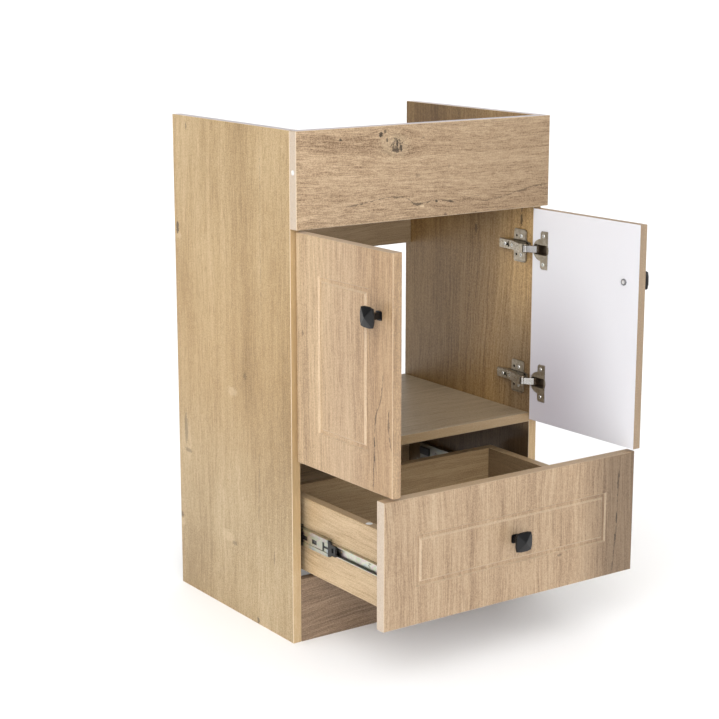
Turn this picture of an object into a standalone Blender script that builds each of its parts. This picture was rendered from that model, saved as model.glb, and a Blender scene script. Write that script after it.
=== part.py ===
"""Free-standing vanity unit: an open-backed oak-effect cupboard with two doors above one drawer.

The doors hang on concealed cup hinges and the drawer runs on three-part ball-bearing runners.
Metres, +Z up, +X to the right, +Y to the back. The origin is on the floor, on the centre line,
in the middle of the plinth's thickness. Doors and drawer stand open by the amounts below.
"""

import math
from collections import namedtuple

import bmesh
import bpy
from mathutils import Matrix, Vector

# Fits
GAP = 0.0003                  # between faces that touch on the real unit
OVERCUT = 0.001               # how far a cutter runs past the face it starts from
MERGE = 0.000001              # corners closer than this are one corner

# Carcass boards
WIDTH = 0.500                 # over both side panels
DEPTH = 0.360                 # side panels, front edge to back edge
HEIGHT = 0.820
BOARD = 0.016
BOARD_ARRIS = 0.0006          # edge-banding chamfer
FASCIA_THICKNESS = 0.018
FASCIA_HEIGHT = 0.150
RAIL_HEIGHT = 0.100
RAIL_DROP = 0.157             # top of the side panels down to the top of the back rail
LOWER_RAIL_HEIGHT = 0.150     # back rail below the shelf
PLINTH_HEIGHT = 0.105

# Doors and drawer front
DOOR_THICKNESS = 0.016
DRAWER_FRONT_THICKNESS = 0.018
DOOR_STANDOFF = 0.002         # closed doors stay this far off the carcass edges
DRAWER_STANDOFF = 0.0005      # closed drawer front to the carcass edges
SIDE_REVEAL = 0.0015          # side panel left showing beside a closed front
DOOR_SPLIT = 0.003            # between the two closed doors
FASCIA_GAP = 0.004            # between fascia and doors
DRAWER_GAP = 0.006            # between doors and drawer front
DRAWER_FRONT_HEIGHT = 0.200
PLINTH_LAP = 0.008            # drawer front covers this much of the plinth
SHELF_LAP = 0.001             # drawer front reaches this far above the shelf's underside
FRONT_ROUND = 0.002           # rounded arris round each front
HINGE_EDGE_CHAMFER = 0.002    # back arris that turns past the side panel
GROOVE_INSET = 0.059          # edge of a front to its routed groove
GROOVE_COVE = 0.002
GROOVE_FLOOR = 0.005
GROOVE_RISE = 0.003
GROOVE_DEPTH = 0.0025

# Opening amounts
LEFT_DOOR_OPEN = math.radians(89.0)
RIGHT_DOOR_OPEN = math.radians(92.5)
DRAWER_OPEN = 0.228

# Concealed hinges
HINGE_FROM_END = 0.068        # door end to hinge centre
SWING_CLEARANCE = 0.0004      # chamfered arris to side panel as the door turns
PIVOT_DEPTH = 0.0035          # door face to the turning axis
CUP_OFFSET = 0.0225           # door edge to cup centre
CUP_RADIUS = 0.0172
CUP_DEPTH = 0.0112
CUP_SIDES = 20
FLANGE_THICKNESS = 0.001
FLANGE_HALF_HEIGHT = 0.032
FLANGE_BULGE = 0.0185
FLANGE_EAR = 0.016            # cup centre to the straight edge of the flange
FLANGE_HEEL = 0.001           # cup centre to the heel of the ears
FLANGE_CORNER = 0.003
CUP_SCREW_SPREAD = 0.024
CUP_SCREW_SETBACK = 0.006
SLOT_HALF_LENGTH = 0.0148
SLOT_HALF_HEIGHT = 0.0086
SLOT_CORNER = 0.0010
SLOT_DEPTH = 0.0105
CUP_PIN_RADIUS = 0.0013
CUP_PIN_OFFSET = 0.0085
CUP_PIN_DEPTH = 0.0078
NEAR_PIN_RADIUS = 0.0010
NEAR_PIN_INSET = 0.0022       # slot edge to the pin that the link's tip bears on
NEAR_PIN_DEPTH = 0.0039
PLATE_SETBACK = 0.037         # carcass front edge to the middle of the plate's bar
PLATE_THICKNESS = 0.0018
PLATE_HALF_LENGTH = 0.0325
PLATE_HALF_BAR = 0.0088
PLATE_END_HALF = 0.0074       # the bar tapers to this at its ends
PLATE_FILLET = 0.0020         # inside corners between bar and wings
WING_LEAD = 0.0065            # the wings' middle lies this far ahead of the bar's
WING_HALF_LENGTH = 0.016
WING_HALF_HEIGHT = 0.028
WING_CORNER = 0.003
BRIDGE_HALF_LENGTH = 0.029
BRIDGE_HALF_WIDTH = 0.005
BRIDGE_HEIGHT = 0.006         # carcass face to the bridge's top
WING_SCREW_HEIGHT = 0.016
WING_SCREW_SHIFT = 0.003
SPARE_HOLE_SHIFT = 0.009
SPARE_HOLE_RADIUS = 0.0024
WING_LIP_WIDTH = 0.0015       # bent-up lip along a wing's outer edge
WING_LIP_RISE = 0.0012
WING_LIP_INSET = 0.0002
WING_CURL_RADIUS = 0.0016     # rolled lug on a wing's front edge
WING_CURL_SINK = 0.0004
WING_CURL_START = 0.0045      # bar to the lug
ARM_REAR = 0.0775             # carcass front edge to the arm's rear end
ARM_HALF_WIDTH = 0.0080
ARM_WALL = 0.0016
ARM_ROUND = 0.0009            # rounded edges of the pressed channel
ARM_REAR_TOP = 0.0085         # heights of the arm over the carcass face
ARM_KNEE_TOP = 0.0100
ARM_KNEE = 0.044              # where the arm starts to rise to its nose
ARM_SHOULDER = 0.010
ARM_TOE = 0.014
NOSE_RADIUS = 0.0026
NOSE_OPEN = 0.0012            # the arm's roof ends here, so that the link can turn
LINK_PIN_OFFSET = 0.011       # cup centre to link pin, with the door closed
LINK_PIN_DEPTH = 0.0026       # link pin in front of the carcass edges
LINK_PIN_RADIUS = 0.0013
LINK_THICKNESS = 0.0018
LINK_SIDE_GAP = 0.0006        # to the walls of the arm
LINK_ROUND = 0.0004
LINK_TURN = 0.36              # degrees of the link for one degree of the door
LINK_KNEE_LIFT = 0.0010
LINK_KNEE_REACH = 0.0049
LINK_TIP_SINK = 0.0033
LINK_TIP_REACH = 0.0044
FIX_SCREW = 0.0615            # carcass front edge to the arm's fixing screw
FIX_SLOT_HALF_WIDTH = 0.0024
FIX_SLOT_TRAVEL = 0.008       # the arm slides this far under its fixing screw
FIX_WINDOW_LENGTH = 0.0036    # wide opening at the slot's front end
FIX_WINDOW_HALF = 0.0046
ADJUST_SCREW = 0.041
ADJUST_RADIUS = 0.0027

# Drawer box and runners
DRAWER_SIDE_HEIGHT = 0.122
DRAWER_SIDE_LIFT = 0.018      # drawer front's lower edge to the box
DRAWER_INSIDE_DEPTH = 0.300
DRAWER_BOARD = 0.016
BOTTOM_THICKNESS = 0.003
BOTTOM_LIFT = 0.010           # lower edge of the sides to the bottom's underside
BOTTOM_GROOVE = 0.006
COVER_CAP_SETBACK = 0.070
COVER_CAP_RADIUS = 0.0055
CAP_DEPTH = 0.005
RUNNER_SPACE = 0.0127         # side panel to drawer side
RUNNER_LENGTH = 0.300
RUNNER_SETBACK = 0.008
MIDDLE_LENGTH = 0.264
MIDDLE_SETBACK = 0.042
RAIL_STEEL = 0.0011
OUTER_HALF_HEIGHT = 0.0175
OUTER_FLANGE = 0.0097
OUTER_LIP = 0.0012
MIDDLE_HALF_HEIGHT = 0.0136
MIDDLE_STANDOFF = 0.0028      # side panel to the middle rail's raised tracks
MIDDLE_FLANGE = 0.0078
TRACK_HEIGHT = 0.0056         # raised track along each edge of the middle rail
WEB_SINK = 0.0008             # how far the web lies behind the tracks
RAIL_WINDOWS = 3
WINDOW_SETBACK = 0.039        # middle rail's front end to its first window
WINDOW_PITCH = 0.0266
WINDOW_HALF_LENGTH = 0.0065
WINDOW_HALF_HEIGHT = 0.0035
INNER_HALF_HEIGHT = 0.0086
INNER_FLANGE = 0.0064
OUTER_BALL_RADIUS = 0.0011
INNER_BALL_RADIUS = 0.0016
OUTER_BALL_STANDOFF = 0.0060  # side panel to the ball centres
INNER_BALL_STANDOFF = 0.0080
CAGE_SHARE = 0.30             # of the runner's length
OUTER_CAGE_SETBACK = 0.140
INNER_CAGE_SHARE = 0.31       # rear end of the runner to the inner cage, of the runner's length
CAGE_MARGIN = 0.0024          # ball centres to the free edge of the cage
CAGE_STEEL = 0.0007
OUTER_CAGE_STANDOFF = 0.0017  # side panel to the cage's web
INNER_CAGE_STANDOFF = 0.0050
BALLS_PER_ROW = 3
BUMPER_LENGTH = 0.020
BUMPER_SHOULDER = 0.005       # length of the bumper's full height
BUMPER_SLOPE = 0.004
BUMPER_HALF_HEIGHT = 0.0122
BUMPER_NOSE_HALF = 0.0085
BUMPER_THICKNESS = 0.0029
BUMPER_HOLE_SETBACK = 0.013   # rail end to the hole's centre
BUMPER_HOLE_HALF_LENGTH = 0.0024
BUMPER_HOLE_HALF_HEIGHT = 0.0036
CLIP_REACH = 0.015            # rail end to the rear edge of the bumper's clip
CLIP_BAR = 0.0024
CLIP_HALF_HEIGHT = 0.0068
CLIP_NECK_HALF = 0.0014
CLIP_SLANT = 0.0005
CLIP_THICKNESS = 0.0005
STOP_LENGTH = 0.028
STOP_HALF_HEIGHT = 0.0068
STOP_THICKNESS = 0.0014
RAIL_SCREW_END = 0.047        # ends of a rail to its screws
RAIL_HOLE_SETBACK = 0.123     # inner rail's front end to its spare hole
RAIL_HOLE_RADIUS = 0.0023

# Screws and caps
SCREW_RADIUS = 0.0016
SCREW_HEAD_RADIUS = 0.0033
SCREW_HEAD_HEIGHT = 0.0012
SCREW_CROWN = 0.8             # flat top of a head, of the head's radius
SCREW_SINK = 0.0003           # head set into the sheet that it holds
SCREW_FLOOR = 0.004           # material left ahead of a screw's tip
CROSS_REACH = 0.0021          # driver recess: centre to the end of an arm
CROSS_ROOT = 0.0005
CROSS_TIP = 0.0003
CROSS_DEPTH = 0.0007
CROSS_TURN = math.radians(13.0)
FASCIA_CAP_RADIUS = 0.004
FASCIA_CAP_DROP = 0.063       # top of the fascia to the screw caps
ROUND_SIDES = 8
CAP_SIDES = 12
SHARP_ANGLE = math.radians(40.0)

# Knobs
KNOB_EDGE = 0.032             # free edge of a door to the knob's centre
KNOB_DROP = 0.0946            # door top to the knob's centre
KNOB_PROJECTION = 0.028
KNOB_HALF = 0.016
KNOB_NECK_HALF = 0.0050
KNOB_BASE_HALF = 0.007
KNOB_BASE_HEIGHT = 0.002
KNOB_RIM_START = 0.0192       # door face to the back of the cap
KNOB_RIM_END = 0.0236
KNOB_WAIST = 0.75             # where the neck starts to flare, of the way to the cap
KNOB_BACK_SHARE = 0.9         # cap's back and front rims, of its half width
KNOB_FRONT_SHARE = 0.96
KNOB_NECK_SQUARENESS = 8      # powers of the rounded-square sections
KNOB_CAP_SQUARENESS = 6
KNOB_BORE = 0.010
KNOB_SCREW_RADIUS = 0.002
KNOB_SCREW_HEAD = 0.0057
KNOB_SCREW_HEAD_HEIGHT = 0.0026
KNOB_SIDES = 16

# Places worked out from the sizes above
FRONT = -BOARD / 2                                   # front edges of the side panels
BACK = FRONT + DEPTH
INSIDE = WIDTH / 2 - BOARD                           # centre line to a side panel's inner face
FASCIA_BOTTOM = HEIGHT - FASCIA_HEIGHT
RAIL_TOP = HEIGHT - RAIL_DROP
RAIL_BOTTOM = RAIL_TOP - RAIL_HEIGHT
DRAWER_FRONT_BOTTOM = PLINTH_HEIGHT - PLINTH_LAP
DRAWER_FRONT_TOP = DRAWER_FRONT_BOTTOM + DRAWER_FRONT_HEIGHT
SHELF_BOTTOM = DRAWER_FRONT_TOP - SHELF_LAP
SHELF_TOP = SHELF_BOTTOM + BOARD
DOOR_BOTTOM = DRAWER_FRONT_TOP + DRAWER_GAP
DOOR_TOP = FASCIA_BOTTOM - FASCIA_GAP
DOOR_WIDTH = (WIDTH - DOOR_SPLIT) / 2 - SIDE_REVEAL
DOOR_BACK = FRONT - DOOR_STANDOFF                    # faces of the closed doors
DOOR_FACE = DOOR_BACK - DOOR_THICKNESS
DRAWER_BACK = FRONT - DRAWER_STANDOFF                # faces of the closed drawer front
DRAWER_FACE = DRAWER_BACK - DRAWER_FRONT_THICKNESS
HINGE_HEIGHTS = {"upper": DOOR_TOP - HINGE_FROM_END, "lower": DOOR_BOTTOM + HINGE_FROM_END}
CUP_INWARD = SIDE_REVEAL + CUP_OFFSET                # outer plane to cup centre, door closed
PIN_INWARD = CUP_INWARD + LINK_PIN_OFFSET
PIN_Y = FRONT - LINK_PIN_DEPTH
KNOB_HEIGHT = DOOR_TOP - KNOB_DROP
DRAWER_SIDE_BOTTOM = DRAWER_FRONT_BOTTOM + DRAWER_SIDE_LIFT
DRAWER_SIDE_TOP = DRAWER_SIDE_BOTTOM + DRAWER_SIDE_HEIGHT
DRAWER_HALF = INSIDE - RUNNER_SPACE                  # centre line to a drawer side's outer face
DRAWER_INSIDE = DRAWER_HALF - DRAWER_BOARD
DRAWER_BOX_FRONT = DRAWER_BACK + GAP
DRAWER_BOX_BACK = DRAWER_BOX_FRONT + DRAWER_INSIDE_DEPTH + DRAWER_BOARD
BOTTOM_LOW = DRAWER_SIDE_BOTTOM + BOTTOM_LIFT
BOTTOM_HIGH = BOTTOM_LOW + BOTTOM_THICKNESS
RUNNER_HEIGHT = (DRAWER_SIDE_BOTTOM + DRAWER_SIDE_TOP) / 2
RUNNER_FRONT = FRONT + RUNNER_SETBACK
MIDDLE_FRONT = FRONT + MIDDLE_SETBACK
CAGE_LENGTH = CAGE_SHARE * RUNNER_LENGTH
INNER_CAGE_FRONT = RUNNER_FRONT + RUNNER_LENGTH * (1 - INNER_CAGE_SHARE - CAGE_SHARE)
OUTER_RACE = OUTER_HALF_HEIGHT - RAIL_STEEL          # runner centre line to the ball tracks
MIDDLE_RACE = MIDDLE_HALF_HEIGHT - RAIL_STEEL

# The axis that a door turns on lies in the door, near its edge. PIVOT_INSET is the largest
# distance from that edge at which the chamfered back arris still clears the side panel.
PIVOT_TO_BACK = DOOR_THICKNESS - PIVOT_DEPTH
SWING_RADIUS = PIVOT_TO_BACK + DOOR_STANDOFF - SWING_CLEARANCE
PIVOT_INSET = HINGE_EDGE_CHAMFER + math.sqrt(SWING_RADIUS ** 2 - PIVOT_TO_BACK ** 2)
PIVOT_INWARD = SIDE_REVEAL + PIVOT_INSET
PIVOT_Y = DOOR_FACE + PIVOT_DEPTH

# Door at a right angle: its inner face, and the edge of the cup's slot that the link passes.
SQUARE_FACE = PIVOT_INWARD + PIVOT_TO_BACK
SQUARE_SLOT_EDGE = PIVOT_Y + PIVOT_INWARD - (CUP_INWARD - SLOT_HALF_LENGTH)

SIDES = {"left": -1, "right": 1}
DOOR_OPEN = {"left": LEFT_DOOR_OPEN, "right": RIGHT_DOOR_OPEN}

Body = namedtuple("Body", "empty axis")


def clear_scene():
    """Remove what the start-up scene holds."""
    for thing in list(bpy.data.objects):
        bpy.data.objects.remove(thing, do_unlink=True)


def new_collection(name):
    """Make a collection in the scene."""
    collection = bpy.data.collections.new(name)
    bpy.context.scene.collection.children.link(collection)
    return collection


def new_material(name, colour, roughness, metallic=0.0):
    """Make a Principled material."""
    material = bpy.data.materials.new(name)
    material.use_nodes = True
    shader = material.node_tree.nodes["Principled BSDF"]
    shader.inputs["Base Color"].default_value = (*colour, 1.0)
    shader.inputs["Roughness"].default_value = roughness
    shader.inputs["Metallic"].default_value = metallic
    return material


def inward(side, distance):
    """X of a point that lies this far inside the outer plane of a side panel."""
    return side * (WIDTH / 2 - distance)


def new_body(name, axis=(0.0, 0.0, 0.0), turn=0.0, pull=0.0):
    """Make the empty that carries a rigid group, on its joint's axis, turned or pulled open."""
    empty = bpy.data.objects.new(name, None)
    empty.location = Vector(axis) - Vector((0.0, pull, 0.0))
    empty.rotation_euler.z = turn
    PARTS.objects.link(empty)
    return Body(empty, Vector(axis))


def add_box(bm, low, high):
    """Add a box between two corners."""
    low = Vector(low)
    size = Vector(high) - low
    matrix = Matrix.Translation(low + size / 2) @ Matrix.Diagonal((*size, 1.0))
    return bmesh.ops.create_cube(bm, size=1.0, matrix=matrix)["verts"]


def add_cylinder(bm, start, end, radius, sides=ROUND_SIDES):
    """Add a cylinder between two points."""
    start = Vector(start)
    run = Vector(end) - start
    turn = run.to_track_quat("Z", "Y").to_matrix().to_4x4()
    matrix = Matrix.Translation(start + run / 2) @ turn
    bmesh.ops.create_cone(bm, cap_ends=True, segments=sides, radius1=radius, radius2=radius,
                          depth=run.length, matrix=matrix)


def add_turned(bm, profile, start, direction, sides=ROUND_SIDES):
    """Add a turned solid. The profile holds (radius, distance) pairs from axis to axis."""
    direction = Vector(direction)
    matrix = Matrix.Translation(start) @ direction.to_track_quat("Z", "Y").to_matrix().to_4x4()
    corners = [bm.verts.new(matrix @ Vector((radius, 0.0, along))) for radius, along in profile]
    edges = [bm.edges.new(pair) for pair in zip(corners, corners[1:])]
    bmesh.ops.spin(bm, geom=corners + edges, cent=start, axis=direction, angle=2 * math.pi,
                   steps=sides, use_merge=True)


def arc(centre, radius, first, last, steps):
    """Points on an arc, angles in degrees."""
    angles = [math.radians(first + (last - first) * step / steps) for step in range(steps + 1)]
    return [(centre[0] + radius * math.cos(a), centre[1] + radius * math.sin(a)) for a in angles]


def ring(centre, radius, sides=ROUND_SIDES):
    """A closed round outline."""
    return arc(centre, radius, 0.0, 360.0, sides)[:-1]


def add_outline(bm, rings, thickness, matrix):
    """Add a flat outline with holes, given a thickness about its plane and then placed."""
    curve = bpy.data.curves.new("outline", "CURVE")
    curve.dimensions = "2D"
    curve.fill_mode = "BOTH"
    curve.extrude = thickness / 2
    for points in rings:
        spline = curve.splines.new("POLY")
        spline.points.add(len(points) - 1)
        for point, (across, up) in zip(spline.points, points):
            point.co = (across, up, 0.0, 1.0)
        spline.use_cyclic_u = True
    guide = bpy.data.objects.new("outline", curve)
    bpy.context.scene.collection.objects.link(guide)
    graph = bpy.context.evaluated_depsgraph_get()
    mesh = bpy.data.meshes.new_from_object(guide.evaluated_get(graph))
    mesh.transform(matrix)
    bm.from_mesh(mesh)
    bpy.data.objects.remove(guide)
    bpy.data.curves.remove(curve)
    bpy.data.meshes.remove(mesh)


def round_rims(bm, chosen, width, segments):
    """Round the chosen rim edges of an outline that is thick along Z."""
    bmesh.ops.remove_doubles(bm, verts=bm.verts, dist=MERGE)
    bmesh.ops.dissolve_limit(bm, angle_limit=math.radians(1.0), verts=bm.verts, edges=bm.edges)
    bmesh.ops.recalc_face_normals(bm, faces=bm.faces)
    rims = [edge for edge in bm.edges if all(chosen(v.co) for v in edge.verts)
            and sorted(abs(face.normal.z) > 0.5 for face in edge.link_faces) == [False, True]]
    bmesh.ops.bevel(bm, geom=rims, offset=width, segments=segments, profile=0.5, affect="EDGES")


def in_plan(side, height):
    """Matrix for an outline of (inward distance, Y), thick along Z."""
    place = Matrix.Translation((inward(side, 0.0), 0.0, height))
    return place @ Matrix.Diagonal((-side, 1.0, 1.0, 1.0))


def in_section(side, middle, height):
    """Matrix for an outline of (inward distance, Z), thick along Y about its middle."""
    place = Matrix.Translation((inward(side, 0.0), middle, height))
    return place @ Matrix(((-side, 0, 0, 0), (0, 0, 1, 0), (0, 1, 0, 0), (0, 0, 0, 1)))


def in_profile(x, height):
    """Matrix for an outline of (Y, Z), thick along X."""
    place = Matrix.Translation((x, 0.0, height))
    return place @ Matrix(((0, 0, 1, 0), (1, 0, 0, 0), (0, 1, 0, 0), (0, 0, 0, 1)))


def to_object(name, bm, collection, body):
    """Turn a bmesh into an object that has its origin in its middle and hangs on a body."""
    bmesh.ops.remove_doubles(bm, verts=bm.verts, dist=MERGE)
    bmesh.ops.recalc_face_normals(bm, faces=bm.faces)
    lows = [min(v.co[axis] for v in bm.verts) for axis in range(3)]
    highs = [max(v.co[axis] for v in bm.verts) for axis in range(3)]
    middle = (Vector(lows) + Vector(highs)) / 2
    bmesh.ops.translate(bm, verts=bm.verts, vec=-middle)
    mesh = bpy.data.meshes.new(name)
    bm.to_mesh(mesh)
    bm.free()
    piece = bpy.data.objects.new(name, mesh)
    collection.objects.link(piece)
    piece.parent = body.empty
    piece.location = middle - body.axis
    return piece


def new_piece(name, bm, material, body, smooth=False):
    """Make a sub-part."""
    piece = to_object(name, bm, PARTS, body)
    piece.data.materials.append(material)
    if smooth:
        piece.data.shade_smooth()
        piece.data.set_sharp_from_angle(angle=SHARP_ANGLE)
    return piece


def new_tool(name, bm, body):
    """Make a solid that only cuts or joins."""
    tool = to_object(name, bm, CUTTERS, body)
    tool.hide_render = True
    tool.display_type = "WIRE"
    return tool


def boolean(piece, tool, operation="DIFFERENCE"):
    """Cut a piece with a tool, or join the tool to it."""
    modifier = piece.modifiers.new(tool.name, "BOOLEAN")
    modifier.solver = "EXACT"
    modifier.operation = operation
    modifier.object = tool


def new_board(name, low, high, material, body):
    """Make a board with its fine edge-banding chamfer."""
    bm = bmesh.new()
    add_box(bm, low, high)
    piece = new_piece(name, bm, material, body)
    arris = piece.modifiers.new("edge_banding", "BEVEL")
    arris.width = BOARD_ARRIS
    arris.segments = 1
    return piece


def add_cross(bm, point, direction):
    """Add the cutter for a driver's cross recess in a face."""
    arm = [(CROSS_REACH, -CROSS_TIP), (CROSS_REACH, CROSS_TIP), (CROSS_ROOT, CROSS_ROOT)]
    outline = []
    for _ in range(4):
        outline += arm
        arm = [(-up, across) for across, up in arm]
    turn = Vector(direction).to_track_quat("Z", "Y").to_matrix().to_4x4()
    turn = turn @ Matrix.Rotation(CROSS_TURN, 4, "Z")
    add_outline(bm, [outline], 2 * CROSS_DEPTH, Matrix.Translation(point) @ turn)


def add_screw(solids, holes, crosses, seat, direction, length, radius=SCREW_RADIUS,
              head_radius=SCREW_HEAD_RADIUS, head_height=SCREW_HEAD_HEIGHT, sink=SCREW_SINK):
    """Add a screw with its head on its seat, the hole that its shank needs, and its cross recess."""
    direction = Vector(direction)
    under_head = Vector(seat) + direction * sink
    profile = ((0.0, -head_height), (head_radius * SCREW_CROWN, -head_height),
               (head_radius, -head_height / 2), (head_radius, 0.0), (radius, 0.0), (radius, length),
               (0.0, length + radius))
    add_turned(solids, profile, under_head, direction)
    add_cross(crosses, under_head - direction * head_height, direction)
    tip = under_head + direction * (length + radius + GAP)
    add_cylinder(holes, under_head - direction * OVERCUT, tip, radius + GAP)


def make_carcass(body):
    """Boards that stand still, and the screw caps in the ends of the fascia."""
    sides = {}
    for label, side in SIDES.items():
        ends = sorted((inward(side, BOARD), inward(side, 0.0)))
        sides[label] = new_board(f"{label}_side_panel", (ends[0], FRONT, 0.0), (ends[1], BACK, HEIGHT),
                                 OAK_SIDE, body)
    span = INSIDE - GAP
    fascia = new_board("fascia_panel", (-WIDTH / 2, FRONT - GAP - FASCIA_THICKNESS, FASCIA_BOTTOM),
                       (WIDTH / 2, FRONT - GAP, HEIGHT), OAK_SIDE, body)
    new_board("shelf_panel", (-span, FRONT, SHELF_BOTTOM), (span, BACK, SHELF_TOP), OAK_INSIDE, body)
    new_board("upper_back_rail", (-span, BACK - BOARD, RAIL_BOTTOM), (span, BACK, RAIL_TOP), OAK_INSIDE, body)
    lower_rail_top = SHELF_BOTTOM - GAP
    new_board("lower_back_rail", (-span, BACK - BOARD, lower_rail_top - LOWER_RAIL_HEIGHT),
              (span, BACK, lower_rail_top), OAK_INSIDE, body)
    new_board("plinth_panel", (-span, FRONT, 0.0), (span, FRONT + BOARD, PLINTH_HEIGHT), OAK_INSIDE, body)

    holes = bmesh.new()
    y = FRONT - GAP - FASCIA_THICKNESS / 2
    z = HEIGHT - FASCIA_CAP_DROP
    for label, side in SIDES.items():
        floor = inward(side, CAP_DEPTH)
        end = inward(side, 0.0)
        cap = bmesh.new()
        add_cylinder(cap, (floor, y, z), (end, y, z), FASCIA_CAP_RADIUS, CAP_SIDES)
        name = f"{label}_fascia_screw_cap"
        cap = new_piece(name, cap, WHITE_PLASTIC, body, smooth=True)
        cross = bmesh.new()
        add_cross(cross, (end, y, z), (side, 0.0, 0.0))
        boolean(cap, new_tool(f"{name}_cross", cross, body))
        add_cylinder(holes, (floor - side * GAP, y, z), (end + side * OVERCUT, y, z),
                     FASCIA_CAP_RADIUS + GAP, CAP_SIDES)
    boolean(fascia, new_tool("fascia_cap_holes", holes, body))
    return sides


def add_front(bm, low, high):
    """Add a door or drawer front: rounded front arrises and a routed rectangular groove."""
    add_box(bm, low, high)
    front = min(bm.faces, key=lambda face: face.normal.y)
    bmesh.ops.bevel(bm, geom=list(front.edges), offset=FRONT_ROUND, segments=3, profile=0.5, affect="EDGES")
    front = min(bm.faces, key=lambda face: (round(face.normal.y, 4), -face.calc_area()))
    steps = ((GROOVE_INSET - FRONT_ROUND, 0.0), (GROOVE_COVE, -GROOVE_DEPTH), (GROOVE_FLOOR, 0.0),
             (GROOVE_RISE, GROOVE_DEPTH))
    for width, lift in steps:
        bmesh.ops.inset_region(bm, faces=[front], thickness=width, depth=lift, use_even_offset=True)


def knob_section(half, squareness):
    """Points of one rounded-square section."""
    points = []
    for step in range(KNOB_SIDES):
        angle = 2 * math.pi * step / KNOB_SIDES
        across = math.cos(angle)
        up = math.sin(angle)
        reach = (abs(across) ** squareness + abs(up) ** squareness) ** (-1.0 / squareness)
        points.append((half * reach * across, half * reach * up))
    return points


def make_knob(label, x, z, face, back, body):
    """A square pillow-shaped knob on a neck, and the screw that holds it through the front."""
    neck = KNOB_NECK_SQUARENESS
    cap = KNOB_CAP_SQUARENESS
    sections = ((KNOB_BASE_HALF, GAP, neck), (KNOB_BASE_HALF, KNOB_BASE_HEIGHT, neck),
                (KNOB_NECK_HALF, KNOB_BASE_HEIGHT, neck), (KNOB_NECK_HALF, KNOB_RIM_START * KNOB_WAIST, neck),
                (KNOB_HALF * KNOB_BACK_SHARE, KNOB_RIM_START, cap),
                (KNOB_HALF, (KNOB_RIM_START + KNOB_RIM_END) / 2, cap),
                (KNOB_HALF * KNOB_FRONT_SHARE, KNOB_RIM_END, cap))
    bm = bmesh.new()
    loops = []
    for half, height, squareness in sections:
        y = face - height
        loops.append([bm.verts.new((x + across, y, z + up)) for across, up in knob_section(half, squareness)])
    for lower, upper in zip(loops, loops[1:]):
        for step in range(KNOB_SIDES):
            after = (step + 1) % KNOB_SIDES
            bm.faces.new((lower[step], lower[after], upper[after], upper[step]))
    bm.faces.new(loops[0])
    peak = bm.verts.new((x, face - KNOB_PROJECTION, z))
    for step in range(KNOB_SIDES):
        bm.faces.new((loops[-1][step], loops[-1][(step + 1) % KNOB_SIDES], peak))
    knob = new_piece(f"{label}_knob", bm, BLACK, body, smooth=True)
    screw = bmesh.new()
    hole = bmesh.new()
    cross = bmesh.new()
    add_screw(screw, hole, cross, (x, back, z), (0.0, -1.0, 0.0), back - face + KNOB_BORE,
              KNOB_SCREW_RADIUS, KNOB_SCREW_HEAD, KNOB_SCREW_HEAD_HEIGHT, -GAP)
    screw = new_piece(f"{label}_knob_screw", screw, STEEL, body, smooth=True)
    boolean(screw, new_tool(f"{label}_knob_screw_cross", cross, body))
    tool = new_tool(f"{label}_knob_bore", hole, body)
    boolean(knob, tool)
    return tool


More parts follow.
